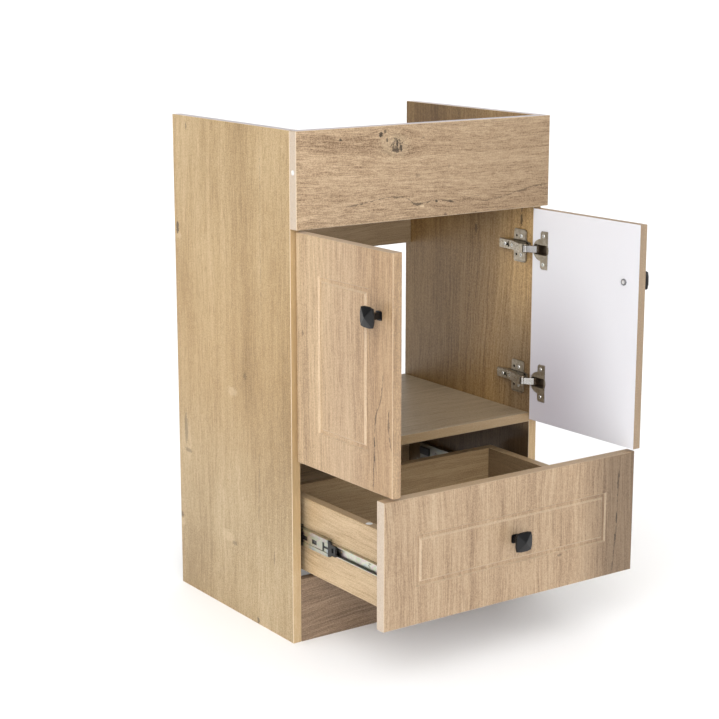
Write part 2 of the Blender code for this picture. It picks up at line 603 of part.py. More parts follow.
def make_cup(label, level, side, z, body, bores):
    """Hinge cup: flange with two screwed ears, round pot with a slot for the link, and the slot's pins."""
    face = DOOR_BACK + GAP
    flange_top = face + FLANGE_THICKNESS
    floor = DOOR_BACK - CUP_DEPTH
    name = f"{label}_{level}_hinge_cup"
    heel = math.degrees(math.acos(FLANGE_HEEL / FLANGE_BULGE))
    left = -FLANGE_HEEL
    corner = FLANGE_CORNER
    outline = [(FLANGE_EAR, -FLANGE_HALF_HEIGHT), (FLANGE_EAR, FLANGE_HALF_HEIGHT),
               (left + corner, FLANGE_HALF_HEIGHT), (left, FLANGE_HALF_HEIGHT - corner)]
    outline += arc((0.0, 0.0), FLANGE_BULGE, 180.0 - heel, 180.0 + heel, 12)
    outline += [(left, corner - FLANGE_HALF_HEIGHT), (left + corner, -FLANGE_HALF_HEIGHT)]
    outline = [(CUP_INWARD + across, up) for across, up in outline]
    bm = bmesh.new()
    add_outline(bm, [outline], FLANGE_THICKNESS, in_section(side, face + FLANGE_THICKNESS / 2, z))
    cup = new_piece(name, bm, NICKEL, body, smooth=True)

    x = inward(side, CUP_INWARD)
    pot = bmesh.new()
    add_cylinder(pot, (x, floor, z), (x, face + FLANGE_THICKNESS / 2, z), CUP_RADIUS, CUP_SIDES)
    boolean(cup, new_tool(f"{name}_pot", pot, body), "UNION")
    slot_floor = DOOR_BACK - SLOT_DEPTH
    slot_top = flange_top + OVERCUT
    end = SLOT_HALF_LENGTH
    edge = SLOT_HALF_HEIGHT
    corners = mirrored([(end, edge - SLOT_CORNER), (end - SLOT_CORNER, edge),
                        (SLOT_CORNER - end, edge), (-end, edge - SLOT_CORNER)])
    slot = bmesh.new()
    add_outline(slot, [[(CUP_INWARD + across, up) for across, up in corners]], slot_top - slot_floor,
                in_section(side, (slot_floor + slot_top) / 2, z))
    boolean(cup, new_tool(f"{name}_slot", slot, body))

    fittings = bmesh.new()
    crosses = bmesh.new()
    reach = SLOT_HALF_HEIGHT + OVERCUT
    for offset, depth, radius in ((CUP_PIN_OFFSET, CUP_PIN_DEPTH, CUP_PIN_RADIUS),
                                  (NEAR_PIN_INSET - SLOT_HALF_LENGTH, NEAR_PIN_DEPTH, NEAR_PIN_RADIUS)):
        pin_x = inward(side, CUP_INWARD + offset)
        pin_y = DOOR_BACK - depth
        add_cylinder(fittings, (pin_x, pin_y, z - reach), (pin_x, pin_y, z + reach), radius)
    screw_x = inward(side, CUP_INWARD + CUP_SCREW_SETBACK)
    for step in (-1, 1):
        add_screw(fittings, bores, crosses, (screw_x, flange_top, z + step * CUP_SCREW_SPREAD),
                  (0.0, -1.0, 0.0), DOOR_THICKNESS - SCREW_FLOOR)
    boolean(cup, new_tool(f"{name}_fittings", fittings, body), "UNION")
    boolean(cup, new_tool(f"{name}_crosses", crosses, body))
    add_cylinder(bores, (x, floor - GAP, z), (x, DOOR_BACK + OVERCUT, z), CUP_RADIUS + GAP, CUP_SIDES)


def make_door(label, side, body):
    """Door panel with its hinge cups and knob, drawn closed."""
    edges = (inward(side, SIDE_REVEAL), inward(side, SIDE_REVEAL + DOOR_WIDTH))
    bm = bmesh.new()
    add_front(bm, (min(edges), DOOR_FACE, DOOR_BOTTOM), (max(edges), DOOR_BACK, DOOR_TOP))
    turning = [edge for edge in bm.edges if all(
        abs(v.co.x - edges[0]) < MERGE and abs(v.co.y - DOOR_BACK) < MERGE for v in edge.verts)]
    bmesh.ops.bevel(bm, geom=turning, offset=HINGE_EDGE_CHAMFER, segments=1, affect="EDGES")
    panel = new_piece(f"{label}_door_panel", bm, OAK_FRONT, body)
    bores = bmesh.new()
    for level, z in HINGE_HEIGHTS.items():
        make_cup(label, level, side, z, body, bores)
    boolean(panel, new_tool(f"{label}_door_bores", bores, body))
    knob_x = inward(side, SIDE_REVEAL + DOOR_WIDTH - KNOB_EDGE)
    boolean(panel, make_knob(f"{label}_door", knob_x, KNOB_HEIGHT, DOOR_FACE, DOOR_BACK, body))


def plate_outline():
    """Cross-shaped mounting plate about the middle of its wings, as (Y, Z), with its holes."""
    bar = PLATE_HALF_BAR
    wing = WING_HALF_LENGTH
    tall = WING_HALF_HEIGHT
    cut = WING_CORNER
    outline = []
    for way in (1, -1):
        end = PLATE_HALF_LENGTH + way * WING_LEAD
        quarter = [(end, PLATE_END_HALF), (wing + PLATE_FILLET, bar), (wing, bar + PLATE_FILLET),
                   (wing, tall - cut), (wing - cut, tall)]
        half = [(y, -z) for y, z in reversed(quarter)] + quarter
        outline += [(way * y, way * z) for y, z in half]
    holes = []
    for step in (-1, 1):
        holes.append(ring((SPARE_HOLE_SHIFT, step * WING_SCREW_HEIGHT), SPARE_HOLE_RADIUS))
    return [outline, *holes]


def make_plate(label, level, side, z, body, panel_holes):
    """Mounting plate screwed to a side panel, with the raised bridge that the arm sits over."""
    name = f"{label}_{level}_hinge_plate"
    middle = FRONT + PLATE_SETBACK
    centre = middle - WING_LEAD
    base = BOARD + GAP
    bm = bmesh.new()
    rings = [[(centre + y, up) for y, up in points] for points in plate_outline()]
    add_outline(bm, rings, PLATE_THICKNESS, in_profile(inward(side, base + PLATE_THICKNESS / 2), z))
    plate = new_piece(name, bm, NICKEL, body)
    fittings = bmesh.new()
    crosses = bmesh.new()
    ends = sorted((inward(side, base + PLATE_THICKNESS / 2), inward(side, BOARD + BRIDGE_HEIGHT)))
    add_box(fittings, (ends[0], middle - BRIDGE_HALF_LENGTH, z - BRIDGE_HALF_WIDTH),
            (ends[1], middle + BRIDGE_HALF_LENGTH, z + BRIDGE_HALF_WIDTH))
    lip_ends = sorted((inward(side, base + PLATE_THICKNESS / 2),
                       inward(side, base + PLATE_THICKNESS + WING_LIP_RISE)))
    lip_half = WING_HALF_LENGTH - WING_CORNER
    lip_top = WING_HALF_HEIGHT - WING_LIP_INSET
    curl_x = inward(side, base + PLATE_THICKNESS - WING_CURL_SINK)
    curl_y = centre - WING_HALF_LENGTH + WING_CURL_RADIUS / 2
    curl_run = (PLATE_HALF_BAR + WING_CURL_START, WING_HALF_HEIGHT - WING_CORNER)
    for step in (-1, 1):
        seat = (inward(side, base + PLATE_THICKNESS), centre - WING_SCREW_SHIFT, z + step * WING_SCREW_HEIGHT)
        add_screw(fittings, panel_holes, crosses, seat, (side, 0.0, 0.0), BOARD - SCREW_FLOOR)
        lip = sorted((z + step * (lip_top - WING_LIP_WIDTH), z + step * lip_top))
        add_box(fittings, (lip_ends[0], centre - lip_half, lip[0]), (lip_ends[1], centre + lip_half, lip[1]))
        curl_ends = [(curl_x, curl_y, z + step * run) for run in curl_run]
        add_cylinder(fittings, *curl_ends, WING_CURL_RADIUS)
    boolean(plate, new_tool(f"{name}_fittings", fittings, body), "UNION")
    boolean(plate, new_tool(f"{name}_crosses", crosses, body))
    return plate


def make_arm(label, level, side, z, body):
    """Hinge arm: a pressed channel over the bridge that rises to a forked nose, and the nose's pin."""
    name = f"{label}_{level}_hinge_arm"
    low = BOARD + PLATE_THICKNESS + 2 * GAP
    rear = FRONT + ARM_REAR
    knee = FRONT + ARM_KNEE
    shoulder = FRONT + ARM_SHOULDER
    rear_top = BOARD + ARM_REAR_TOP
    knee_top = BOARD + ARM_KNEE_TOP
    nose_top = PIN_INWARD + NOSE_RADIUS
    outline = [(low, FRONT + ARM_TOE), (low, rear), (rear_top, rear), (knee_top, knee), (nose_top, shoulder)]
    outline += arc((PIN_INWARD, PIN_Y), NOSE_RADIUS, 0.0, -180.0, 6)
    bm = bmesh.new()
    add_outline(bm, [outline], 2 * ARM_HALF_WIDTH, in_plan(side, z))
    round_rims(bm, lambda point: WIDTH / 2 - side * point.x > rear_top - MERGE, ARM_ROUND, 2)
    arm = new_piece(name, bm, NICKEL, body)
    nose_end = PIN_Y - NOSE_RADIUS - OVERCUT
    roof = [(BOARD, rear + OVERCUT), (rear_top - ARM_WALL, rear + OVERCUT), (knee_top - ARM_WALL, knee),
            (nose_top - ARM_WALL, shoulder), (nose_top - ARM_WALL, FRONT + NOSE_OPEN),
            (nose_top + OVERCUT, FRONT + NOSE_OPEN), (nose_top + OVERCUT, nose_end), (BOARD, nose_end)]
    hollow = bmesh.new()
    add_outline(hollow, [roof], 2 * (ARM_HALF_WIDTH - ARM_WALL), in_plan(side, z))
    boolean(arm, new_tool(f"{name}_channel", hollow, body))
    slot_rear = FRONT + FIX_SCREW
    slot = arc((slot_rear, 0.0), FIX_SLOT_HALF_WIDTH, -90.0, 90.0, 5)
    window_rear = slot_rear - FIX_SLOT_TRAVEL
    window_front = window_rear - FIX_WINDOW_LENGTH
    slot += [(window_rear, FIX_SLOT_HALF_WIDTH), (window_rear, FIX_WINDOW_HALF),
             (window_front, FIX_WINDOW_HALF), (window_front, -FIX_WINDOW_HALF),
             (window_rear, -FIX_WINDOW_HALF), (window_rear, -FIX_SLOT_HALF_WIDTH)]
    slotted = bmesh.new()
    add_outline(slotted, [slot], 2 * (nose_top - knee_top), in_profile(inward(side, knee_top), z))
    boolean(arm, new_tool(f"{name}_fixing_slot", slotted, body))
    pin = bmesh.new()
    pin_x = inward(side, PIN_INWARD)
    add_cylinder(pin, (pin_x, PIN_Y, z - ARM_HALF_WIDTH), (pin_x, PIN_Y, z + ARM_HALF_WIDTH), LINK_PIN_RADIUS)
    new_piece(f"{label}_{level}_hinge_pin", pin, STEEL, body, smooth=True)
    pin_hole = bmesh.new()
    reach = ARM_HALF_WIDTH + OVERCUT
    add_cylinder(pin_hole, (pin_x, PIN_Y, z - reach), (pin_x, PIN_Y, z + reach), LINK_PIN_RADIUS + GAP)
    boolean(arm, new_tool(f"{name}_pin_hole", pin_hole, body))
    return arm


def add_arm_screws(name, side, z, body, arm, plate):
    """Fixing screw through the arm's roof into the plate, and the adjusting screw ahead of it."""
    screws = bmesh.new()
    thread = bmesh.new()
    crosses = bmesh.new()
    rise = (ARM_KNEE_TOP - ARM_REAR_TOP) / (ARM_REAR - ARM_KNEE)
    roof = ARM_REAR_TOP + rise * (ARM_REAR - FIX_SCREW)
    length = roof - PLATE_THICKNESS - SCREW_RADIUS - SCREW_SINK - GAP
    seat = (inward(side, BOARD + roof), FRONT + FIX_SCREW, z)
    add_screw(screws, thread, crosses, seat, (side, 0.0, 0.0), length)
    slope = (PIN_INWARD + NOSE_RADIUS - BOARD - ARM_KNEE_TOP) / (ARM_KNEE - ARM_SHOULDER)
    roof = ARM_KNEE_TOP + slope * (ARM_KNEE - ADJUST_SCREW + ADJUST_RADIUS)
    y = FRONT + ADJUST_SCREW
    foot = inward(side, BOARD + BRIDGE_HEIGHT + GAP)
    top = (inward(side, BOARD + roof), y, z)
    add_cylinder(screws, (foot, y, z), top, ADJUST_RADIUS)
    add_cross(crosses, top, (side, 0.0, 0.0))
    boolean(arm, new_tool(f"{name}_screws", screws, body), "UNION")
    boolean(arm, new_tool(f"{name}_crosses", crosses, body))
    boolean(plate, new_tool(f"{name}_thread", thread, body))


def make_link(label, level, side, z, body):
    """Hinge link, drawn for a door at a right angle: pinned in the nose, bent into the cup's slot."""
    pin = Vector((PIN_INWARD, PIN_Y))
    knee = Vector((SQUARE_FACE + LINK_KNEE_LIFT, SQUARE_SLOT_EDGE - LINK_KNEE_REACH))
    tip = Vector((SQUARE_FACE - LINK_TIP_SINK, SQUARE_SLOT_EDGE - LINK_TIP_REACH))
    half = LINK_THICKNESS / 2
    arm_way = (knee - pin).normalized()
    tip_way = (tip - knee).normalized()
    arm_side = Vector((-arm_way.y, arm_way.x)) * half
    tip_side = Vector((-tip_way.y, tip_way.x)) * half
    bend = (arm_side + tip_side) / (1.0 + arm_side.dot(tip_side) / half ** 2)
    heading = math.degrees(math.atan2(arm_way.y, arm_way.x))
    flare = math.degrees(math.asin(half / NOSE_RADIUS))
    outline = arc(pin, NOSE_RADIUS, heading + flare, heading + 360.0 - flare, 10)
    outline += [tuple(point) for point in (knee - bend, tip - tip_side, tip + tip_side, knee + bend)]
    bm = bmesh.new()
    width = 2 * (ARM_HALF_WIDTH - ARM_WALL - LINK_SIDE_GAP)
    add_outline(bm, [outline, ring(pin, LINK_PIN_RADIUS + GAP)], width, in_plan(side, z))
    bore = LINK_PIN_RADIUS + 2 * GAP
    axis = Vector((inward(side, PIN_INWARD), PIN_Y))
    round_rims(bm, lambda point: (point.xy - axis).length > bore, LINK_ROUND, 1)
    new_piece(f"{label}_{level}_hinge_link", bm, NICKEL, body)


def make_hinges(carcass, sides):
    """Everything of the hinges that stands on the side panels, and the links."""
    for label, side in SIDES.items():
        panel_holes = bmesh.new()
        for level, z in HINGE_HEIGHTS.items():
            plate = make_plate(label, level, side, z, carcass, panel_holes)
            arm = make_arm(label, level, side, z, carcass)
            add_arm_screws(f"{label}_{level}_arm", side, z, carcass, arm, plate)
            turn = side * LINK_TURN * (math.pi / 2 - DOOR_OPEN[label])
            axis = (inward(side, PIN_INWARD), PIN_Y, z)
            make_link(label, level, side, z, new_body(f"{label}_{level}_link_axis", axis, turn))
        boolean(sides[label], new_tool(f"{label}_plate_screw_holes", panel_holes, carcass))


def make_drawer(body):
    """Drawer box, front, knob and fittings, drawn closed."""
    front = bmesh.new()
    half = WIDTH / 2 - SIDE_REVEAL
    add_front(front, (-half, DRAWER_FACE, DRAWER_FRONT_BOTTOM), (half, DRAWER_BACK, DRAWER_FRONT_TOP))
    front = new_piece("drawer_front", front, OAK_FRONT, body)
    boards = {}
    for label, side in SIDES.items():
        ends = sorted((side * DRAWER_HALF, side * DRAWER_INSIDE))
        boards[label] = new_board(f"drawer_{label}_side", (ends[0], DRAWER_BOX_FRONT, DRAWER_SIDE_BOTTOM),
                                  (ends[1], DRAWER_BOX_BACK, DRAWER_SIDE_TOP), OAK_INSIDE, body)
    span = DRAWER_INSIDE - GAP
    back_low = DRAWER_BOX_BACK - DRAWER_BOARD
    new_board("drawer_back", (-span, back_low, BOTTOM_HIGH + GAP), (span, DRAWER_BOX_BACK, DRAWER_SIDE_TOP),
              OAK_INSIDE, body)
    bottom = bmesh.new()
    reach = DRAWER_INSIDE + BOTTOM_GROOVE - GAP
    add_box(bottom, (-reach, DRAWER_BACK - BOTTOM_GROOVE + GAP, BOTTOM_LOW),
            (reach, DRAWER_BOX_BACK, BOTTOM_HIGH))
    new_piece("drawer_bottom", bottom, WHITE_BOARD, body)
    groove = bmesh.new()
    reach = DRAWER_INSIDE + BOTTOM_GROOVE
    add_box(groove, (-reach, DRAWER_BACK - BOTTOM_GROOVE, BOTTOM_LOW - GAP),
            (reach, DRAWER_BOX_BACK + OVERCUT, BOTTOM_HIGH + GAP))
    groove_tool = new_tool("drawer_bottom_groove", groove, body)
    for piece in (front, *boards.values()):
        boolean(piece, groove_tool)

    cap_y = DRAWER_BACK + COVER_CAP_SETBACK
    for label, side in SIDES.items():
        x = side * (DRAWER_HALF - DRAWER_BOARD / 2)
        floor = DRAWER_SIDE_TOP - CAP_DEPTH
        cap = bmesh.new()
        add_cylinder(cap, (x, cap_y, floor), (x, cap_y, DRAWER_SIDE_TOP), COVER_CAP_RADIUS, CAP_SIDES)
        new_piece(f"drawer_{label}_cover_cap", cap, WHITE_PLASTIC, body, smooth=True)
        hole = bmesh.new()
        add_cylinder(hole, (x, cap_y, floor - GAP), (x, cap_y, DRAWER_SIDE_TOP + OVERCUT),
                     COVER_CAP_RADIUS + GAP, CAP_SIDES)
        boolean(boards[label], new_tool(f"drawer_{label}_cap_hole", hole, body))
    knob_z = (DRAWER_FRONT_BOTTOM + DRAWER_FRONT_TOP) / 2
    boolean(front, make_knob("drawer", 0.0, knob_z, DRAWER_FACE, DRAWER_BACK, body))
    return boards


def channel(base, flange, half, steel, lip=0.0):
    """Outline of a rolled channel as (inward, Z): a web with two flanges, which may end in lips."""
    wall = math.copysign(steel, flange)
    end = base + flange
    upper = [(base, half), (end, half)]
    if lip:
        upper += [(end, half - steel - lip), (end - wall, half - steel - lip), (end - wall, half - steel)]
    else:
        upper += [(end, half - steel)]
    upper += [(base + wall, half - steel)]
    return mirrored(upper)


def mirrored(lower):
    """Close an outline with its image across its first axis."""
    return lower + [(along, -up) for along, up in reversed(lower)]


def tracked_channel(base):
    """Outline of the middle rail: a channel whose web lies behind a raised track at each edge."""
    end = base + MIDDLE_FLANGE
    half = MIDDLE_HALF_HEIGHT
    low = half - TRACK_HEIGHT
    return mirrored([(base + WEB_SINK, low - WEB_SINK), (base, low), (base, half), (end, half),
                     (end, half - RAIL_STEEL), (base + RAIL_STEEL, half - RAIL_STEEL),
                     (base + RAIL_STEEL, low), (base + WEB_SINK + RAIL_STEEL, low - WEB_SINK)])


def add_rail(bm, side, outline, front, length):
    """Add a length of rolled channel."""
    add_outline(bm, [outline], length, in_section(side, front + length / 2, RUNNER_HEIGHT))


def make_fixed_rail(name, side, profile, web_face, outward, panel, body):
    """Rail of a runner that is screwed to a board."""
    bm = bmesh.new()
    add_rail(bm, side, profile, RUNNER_FRONT, RUNNER_LENGTH)
    rail = new_piece(name, bm, ZINC, body)
    screws = bmesh.new()
    holes = bmesh.new()
    crosses = bmesh.new()
    for y in (RUNNER_FRONT + RAIL_SCREW_END, RUNNER_FRONT + RUNNER_LENGTH - RAIL_SCREW_END):
        seat = (inward(side, web_face), y, RUNNER_HEIGHT)
        add_screw(screws, holes, crosses, seat, (outward, 0.0, 0.0), BOARD - SCREW_FLOOR)
    boolean(rail, new_tool(f"{name}_screws", screws, body), "UNION")
    boolean(rail, new_tool(f"{name}_crosses", crosses, body))
    boolean(panel, new_tool(f"{name}_screw_holes", holes, body))
    return rail


def make_runner(label, side, carcass, drawer, middle, panel, drawer_side):
    """Outer, middle and inner rail of one runner, with the black bumper and rear stop."""
    outer_base = BOARD + GAP
    middle_base = BOARD + MIDDLE_STANDOFF
    inner_base = BOARD + RUNNER_SPACE - GAP
    make_fixed_rail(f"{label}_runner_outer_rail", side,
                    channel(outer_base, OUTER_FLANGE, OUTER_HALF_HEIGHT, RAIL_STEEL, OUTER_LIP),
                    outer_base + RAIL_STEEL, side, panel, carcass)
    inner = make_fixed_rail(f"{label}_runner_inner_rail", side,
                            channel(inner_base, -INNER_FLANGE, INNER_HALF_HEIGHT, RAIL_STEEL),
                            inner_base - RAIL_STEEL, -side, drawer_side, drawer)
    hole = bmesh.new()
    hole_y = RUNNER_FRONT + RAIL_HOLE_SETBACK
    add_cylinder(hole, (inward(side, inner_base - INNER_FLANGE), hole_y, RUNNER_HEIGHT),
                 (inward(side, inner_base + OVERCUT), hole_y, RUNNER_HEIGHT), RAIL_HOLE_RADIUS)
    boolean(inner, new_tool(f"{label}_inner_rail_hole", hole, drawer))

    bm = bmesh.new()
    add_rail(bm, side, tracked_channel(middle_base), MIDDLE_FRONT, MIDDLE_LENGTH)
    rail = new_piece(f"{label}_runner_middle_rail", bm, ZINC, middle)
    windows = bmesh.new()
    ends = sorted((inward(side, middle_base), inward(side, middle_base + MIDDLE_FLANGE)))
    for step in range(RAIL_WINDOWS):
        y = MIDDLE_FRONT + WINDOW_SETBACK + step * WINDOW_PITCH
        add_box(windows, (ends[0], y - WINDOW_HALF_LENGTH, RUNNER_HEIGHT - WINDOW_HALF_HEIGHT),
                (ends[1], y + WINDOW_HALF_LENGTH, RUNNER_HEIGHT + WINDOW_HALF_HEIGHT))
    boolean(rail, new_tool(f"{label}_middle_rail_windows", windows, middle))

    end = MIDDLE_FRONT - GAP
    shoulder = end - BUMPER_SHOULDER
    lower = [(end, -BUMPER_HALF_HEIGHT), (shoulder, -BUMPER_HALF_HEIGHT),
             (shoulder - BUMPER_SLOPE, -BUMPER_NOSE_HALF), (end - BUMPER_LENGTH, -BUMPER_NOSE_HALF)]
    hole_y = MIDDLE_FRONT - BUMPER_HOLE_SETBACK
    lower_hole = [(hole_y + BUMPER_HOLE_HALF_LENGTH, -BUMPER_HOLE_HALF_HEIGHT),
                  (hole_y - BUMPER_HOLE_HALF_LENGTH, -BUMPER_HOLE_HALF_HEIGHT)]
    bm = bmesh.new()
    x = inward(side, middle_base + BUMPER_THICKNESS / 2)
    add_outline(bm, [mirrored(lower), mirrored(lower_hole)], BUMPER_THICKNESS, in_profile(x, RUNNER_HEIGHT))
    bumper = new_piece(f"{label}_runner_bumper", bm, BLACK, middle)
    clip_end = MIDDLE_FRONT + CLIP_REACH
    bar = clip_end - CLIP_BAR
    lower = [(end - BUMPER_SHOULDER / 2, -CLIP_NECK_HALF), (bar - CLIP_SLANT, -CLIP_NECK_HALF),
             (bar, -CLIP_HALF_HEIGHT), (clip_end, -CLIP_HALF_HEIGHT)]
    clip = bmesh.new()
    x = inward(side, middle_base + CLIP_THICKNESS / 2)
    add_outline(clip, [mirrored(lower)], CLIP_THICKNESS, in_profile(x, RUNNER_HEIGHT))
    boolean(bumper, new_tool(f"{label}_bumper_clip", clip, middle), "UNION")

    stop_base = outer_base + RAIL_STEEL + GAP
    ends = sorted((inward(side, stop_base), inward(side, stop_base + STOP_THICKNESS)))
    stop_back = RUNNER_FRONT + RUNNER_LENGTH
    bm = bmesh.new()
    add_box(bm, (ends[0], stop_back - STOP_LENGTH, RUNNER_HEIGHT - STOP_HALF_HEIGHT),
            (ends[1], stop_back, RUNNER_HEIGHT + STOP_HALF_HEIGHT))
    new_piece(f"{label}_runner_rear_stop", bm, BLACK, carcass)


def make_cage(name, side, body, base, front, ball_radius, ball_inward, level):
    """Ball cage: a channel whose two flanges each carry a row of balls between the rails."""
    half = level + CAGE_STEEL / 2
    flange = ball_inward + CAGE_MARGIN - base
    bm = bmesh.new()
    outline = channel(base, flange, half, CAGE_STEEL)
    add_outline(bm, [outline], CAGE_LENGTH, in_section(side, front + CAGE_LENGTH / 2, RUNNER_HEIGHT))
    cage = new_piece(name, bm, STEEL, body)
    balls = bmesh.new()
    pitch = CAGE_LENGTH / BALLS_PER_ROW
    for step in range(BALLS_PER_ROW):
        for row in (-level, level):
            place = (inward(side, ball_inward), front + pitch * (step + 0.5), RUNNER_HEIGHT + row)
            bmesh.ops.create_uvsphere(balls, u_segments=6, v_segments=4, radius=ball_radius,
                                      matrix=Matrix.Translation(place))
    boolean(cage, new_tool(f"{name}_balls", balls, body), "UNION")


clear_scene()
PARTS = new_collection("vanity_unit")
CUTTERS = new_collection("vanity_unit_cutters")

OAK_SIDE = new_material("oak_side", (0.56, 0.42, 0.27), 0.55)
OAK_FRONT = new_material("oak_front", (0.55, 0.40, 0.28), 0.55)
OAK_INSIDE = new_material("oak_inside", (0.50, 0.36, 0.23), 0.55)
WHITE_BOARD = new_material("white_board", (0.85, 0.84, 0.87), 0.45)
WHITE_PLASTIC = new_material("white_plastic", (0.88, 0.87, 0.86), 0.35)
NICKEL = new_material("nickel_plate", (0.62, 0.60, 0.55), 0.25, 1.0)
ZINC = new_material("zinc_steel", (0.66, 0.67, 0.66), 0.35, 1.0)
STEEL = new_material("screw_steel", (0.68, 0.68, 0.67), 0.30, 1.0)
BLACK = new_material("black_satin", (0.02, 0.02, 0.02), 0.40)

carcass_body = new_body("carcass")
carcass_sides = make_carcass(carcass_body)
make_hinges(carcass_body, carcass_sides)
for door_label, door_side in SIDES.items():
    door_axis = (inward(door_side, PIVOT_INWARD), PIVOT_Y, 0.0)
    door_turn = door_side * DOOR_OPEN[door_label]
    make_door(door_label, door_side, new_body(f"{door_label}_door_axis", door_axis, door_turn))
drawer_body = new_body("drawer_slide", pull=DRAWER_OPEN)
drawer_boards = make_drawer(drawer_body)
for runner_label, runner_side in SIDES.items():
    middle_body = new_body(f"{runner_label}_middle_slide", pull=DRAWER_OPEN / 2)
    make_runner(runner_label, runner_side, carcass_body, drawer_body, middle_body,
                carcass_sides[runner_label], drawer_boards[runner_label])
    outer_cage = new_body(f"{runner_label}_outer_cage_slide", pull=DRAWER_OPEN / 4)
    make_cage(f"{runner_label}_outer_ball_cage", runner_side, outer_cage, BOARD + OUTER_CAGE_STANDOFF,
              FRONT + OUTER_CAGE_SETBACK, OUTER_BALL_RADIUS, BOARD + OUTER_BALL_STANDOFF,
              (OUTER_RACE + MIDDLE_HALF_HEIGHT) / 2)
    inner_cage = new_body(f"{runner_label}_inner_cage_slide", pull=DRAWER_OPEN * 3 / 4)
    make_cage(f"{runner_label}_inner_ball_cage", runner_side, inner_cage, BOARD + INNER_CAGE_STANDOFF,
              INNER_CAGE_FRONT, INNER_BALL_RADIUS, BOARD + INNER_BALL_STANDOFF,
              (MIDDLE_RACE + INNER_HALF_HEIGHT) / 2)
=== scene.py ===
import math

import bpy
from mathutils import Matrix, Vector

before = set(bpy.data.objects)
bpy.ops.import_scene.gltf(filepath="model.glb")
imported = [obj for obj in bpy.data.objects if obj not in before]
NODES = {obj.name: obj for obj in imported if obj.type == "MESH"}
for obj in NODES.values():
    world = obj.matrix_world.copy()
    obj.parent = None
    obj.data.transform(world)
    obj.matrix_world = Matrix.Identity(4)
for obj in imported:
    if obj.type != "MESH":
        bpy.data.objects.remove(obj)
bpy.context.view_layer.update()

# Camera of the photograph: focal length in pixels of the square picture, turn and tilt in degrees.
PICTURE = 719.0
FOCAL_PIXELS = 1782.16
SENSOR = 36.0
CAMERA_PLACE = (-1.69941, -2.27454, 1.07125)
CAMERA_TURN = 34.8563
CAMERA_DOWN = 12.66524

# Doors: hinge line and how far they stand open at rest, turned back to read closed-door coordinates.
HINGE_OUT = 0.239976
HINGE_Y = -0.0225
LEFT_OPEN = 89.0
RIGHT_OPEN = 92.5

# Places on the hinges: screws and bores of the plates and arms, cups with the doors closed.
HINGE_HEIGHTS = (0.598, 0.371)
WING_SCREW_RISE = 0.016
WING_SCREW_Y = 0.0195
SPARE_BORE_Y = 0.0315
FIX_SCREW_Y = 0.0535
ADJUST_SCREW_Y = 0.033
HEAD_RADIUS = 0.0033
ADJUST_HEAD_RADIUS = 0.0027
CUP_SCREW_OUT = 0.220
CUP_SCREW_RISE = 0.024
CUP_PIN_OUT = 0.2175
CUP_PIN_Y = -0.0178
CUP_PIN_RADIUS = 0.0013
CUP_FACE_Y = -0.0100
CUP_DARK_Y = -0.0150

# Layout of a material's nodes in the editor: nodes in a row, and the steps left and down.
NODES_IN_ROW = 12
NODE_STEP = (220, 180)


def srgb(red, green, blue):
    """A colour given as 0 to 255 values, as scene-linear RGBA."""
    linear = []
    for value in (red, green, blue):
        share = value / 255
        linear.append(share / 12.92 if share <= 0.04045 else ((share + 0.055) / 1.055) ** 2.4)
    return (*linear, 1.0)


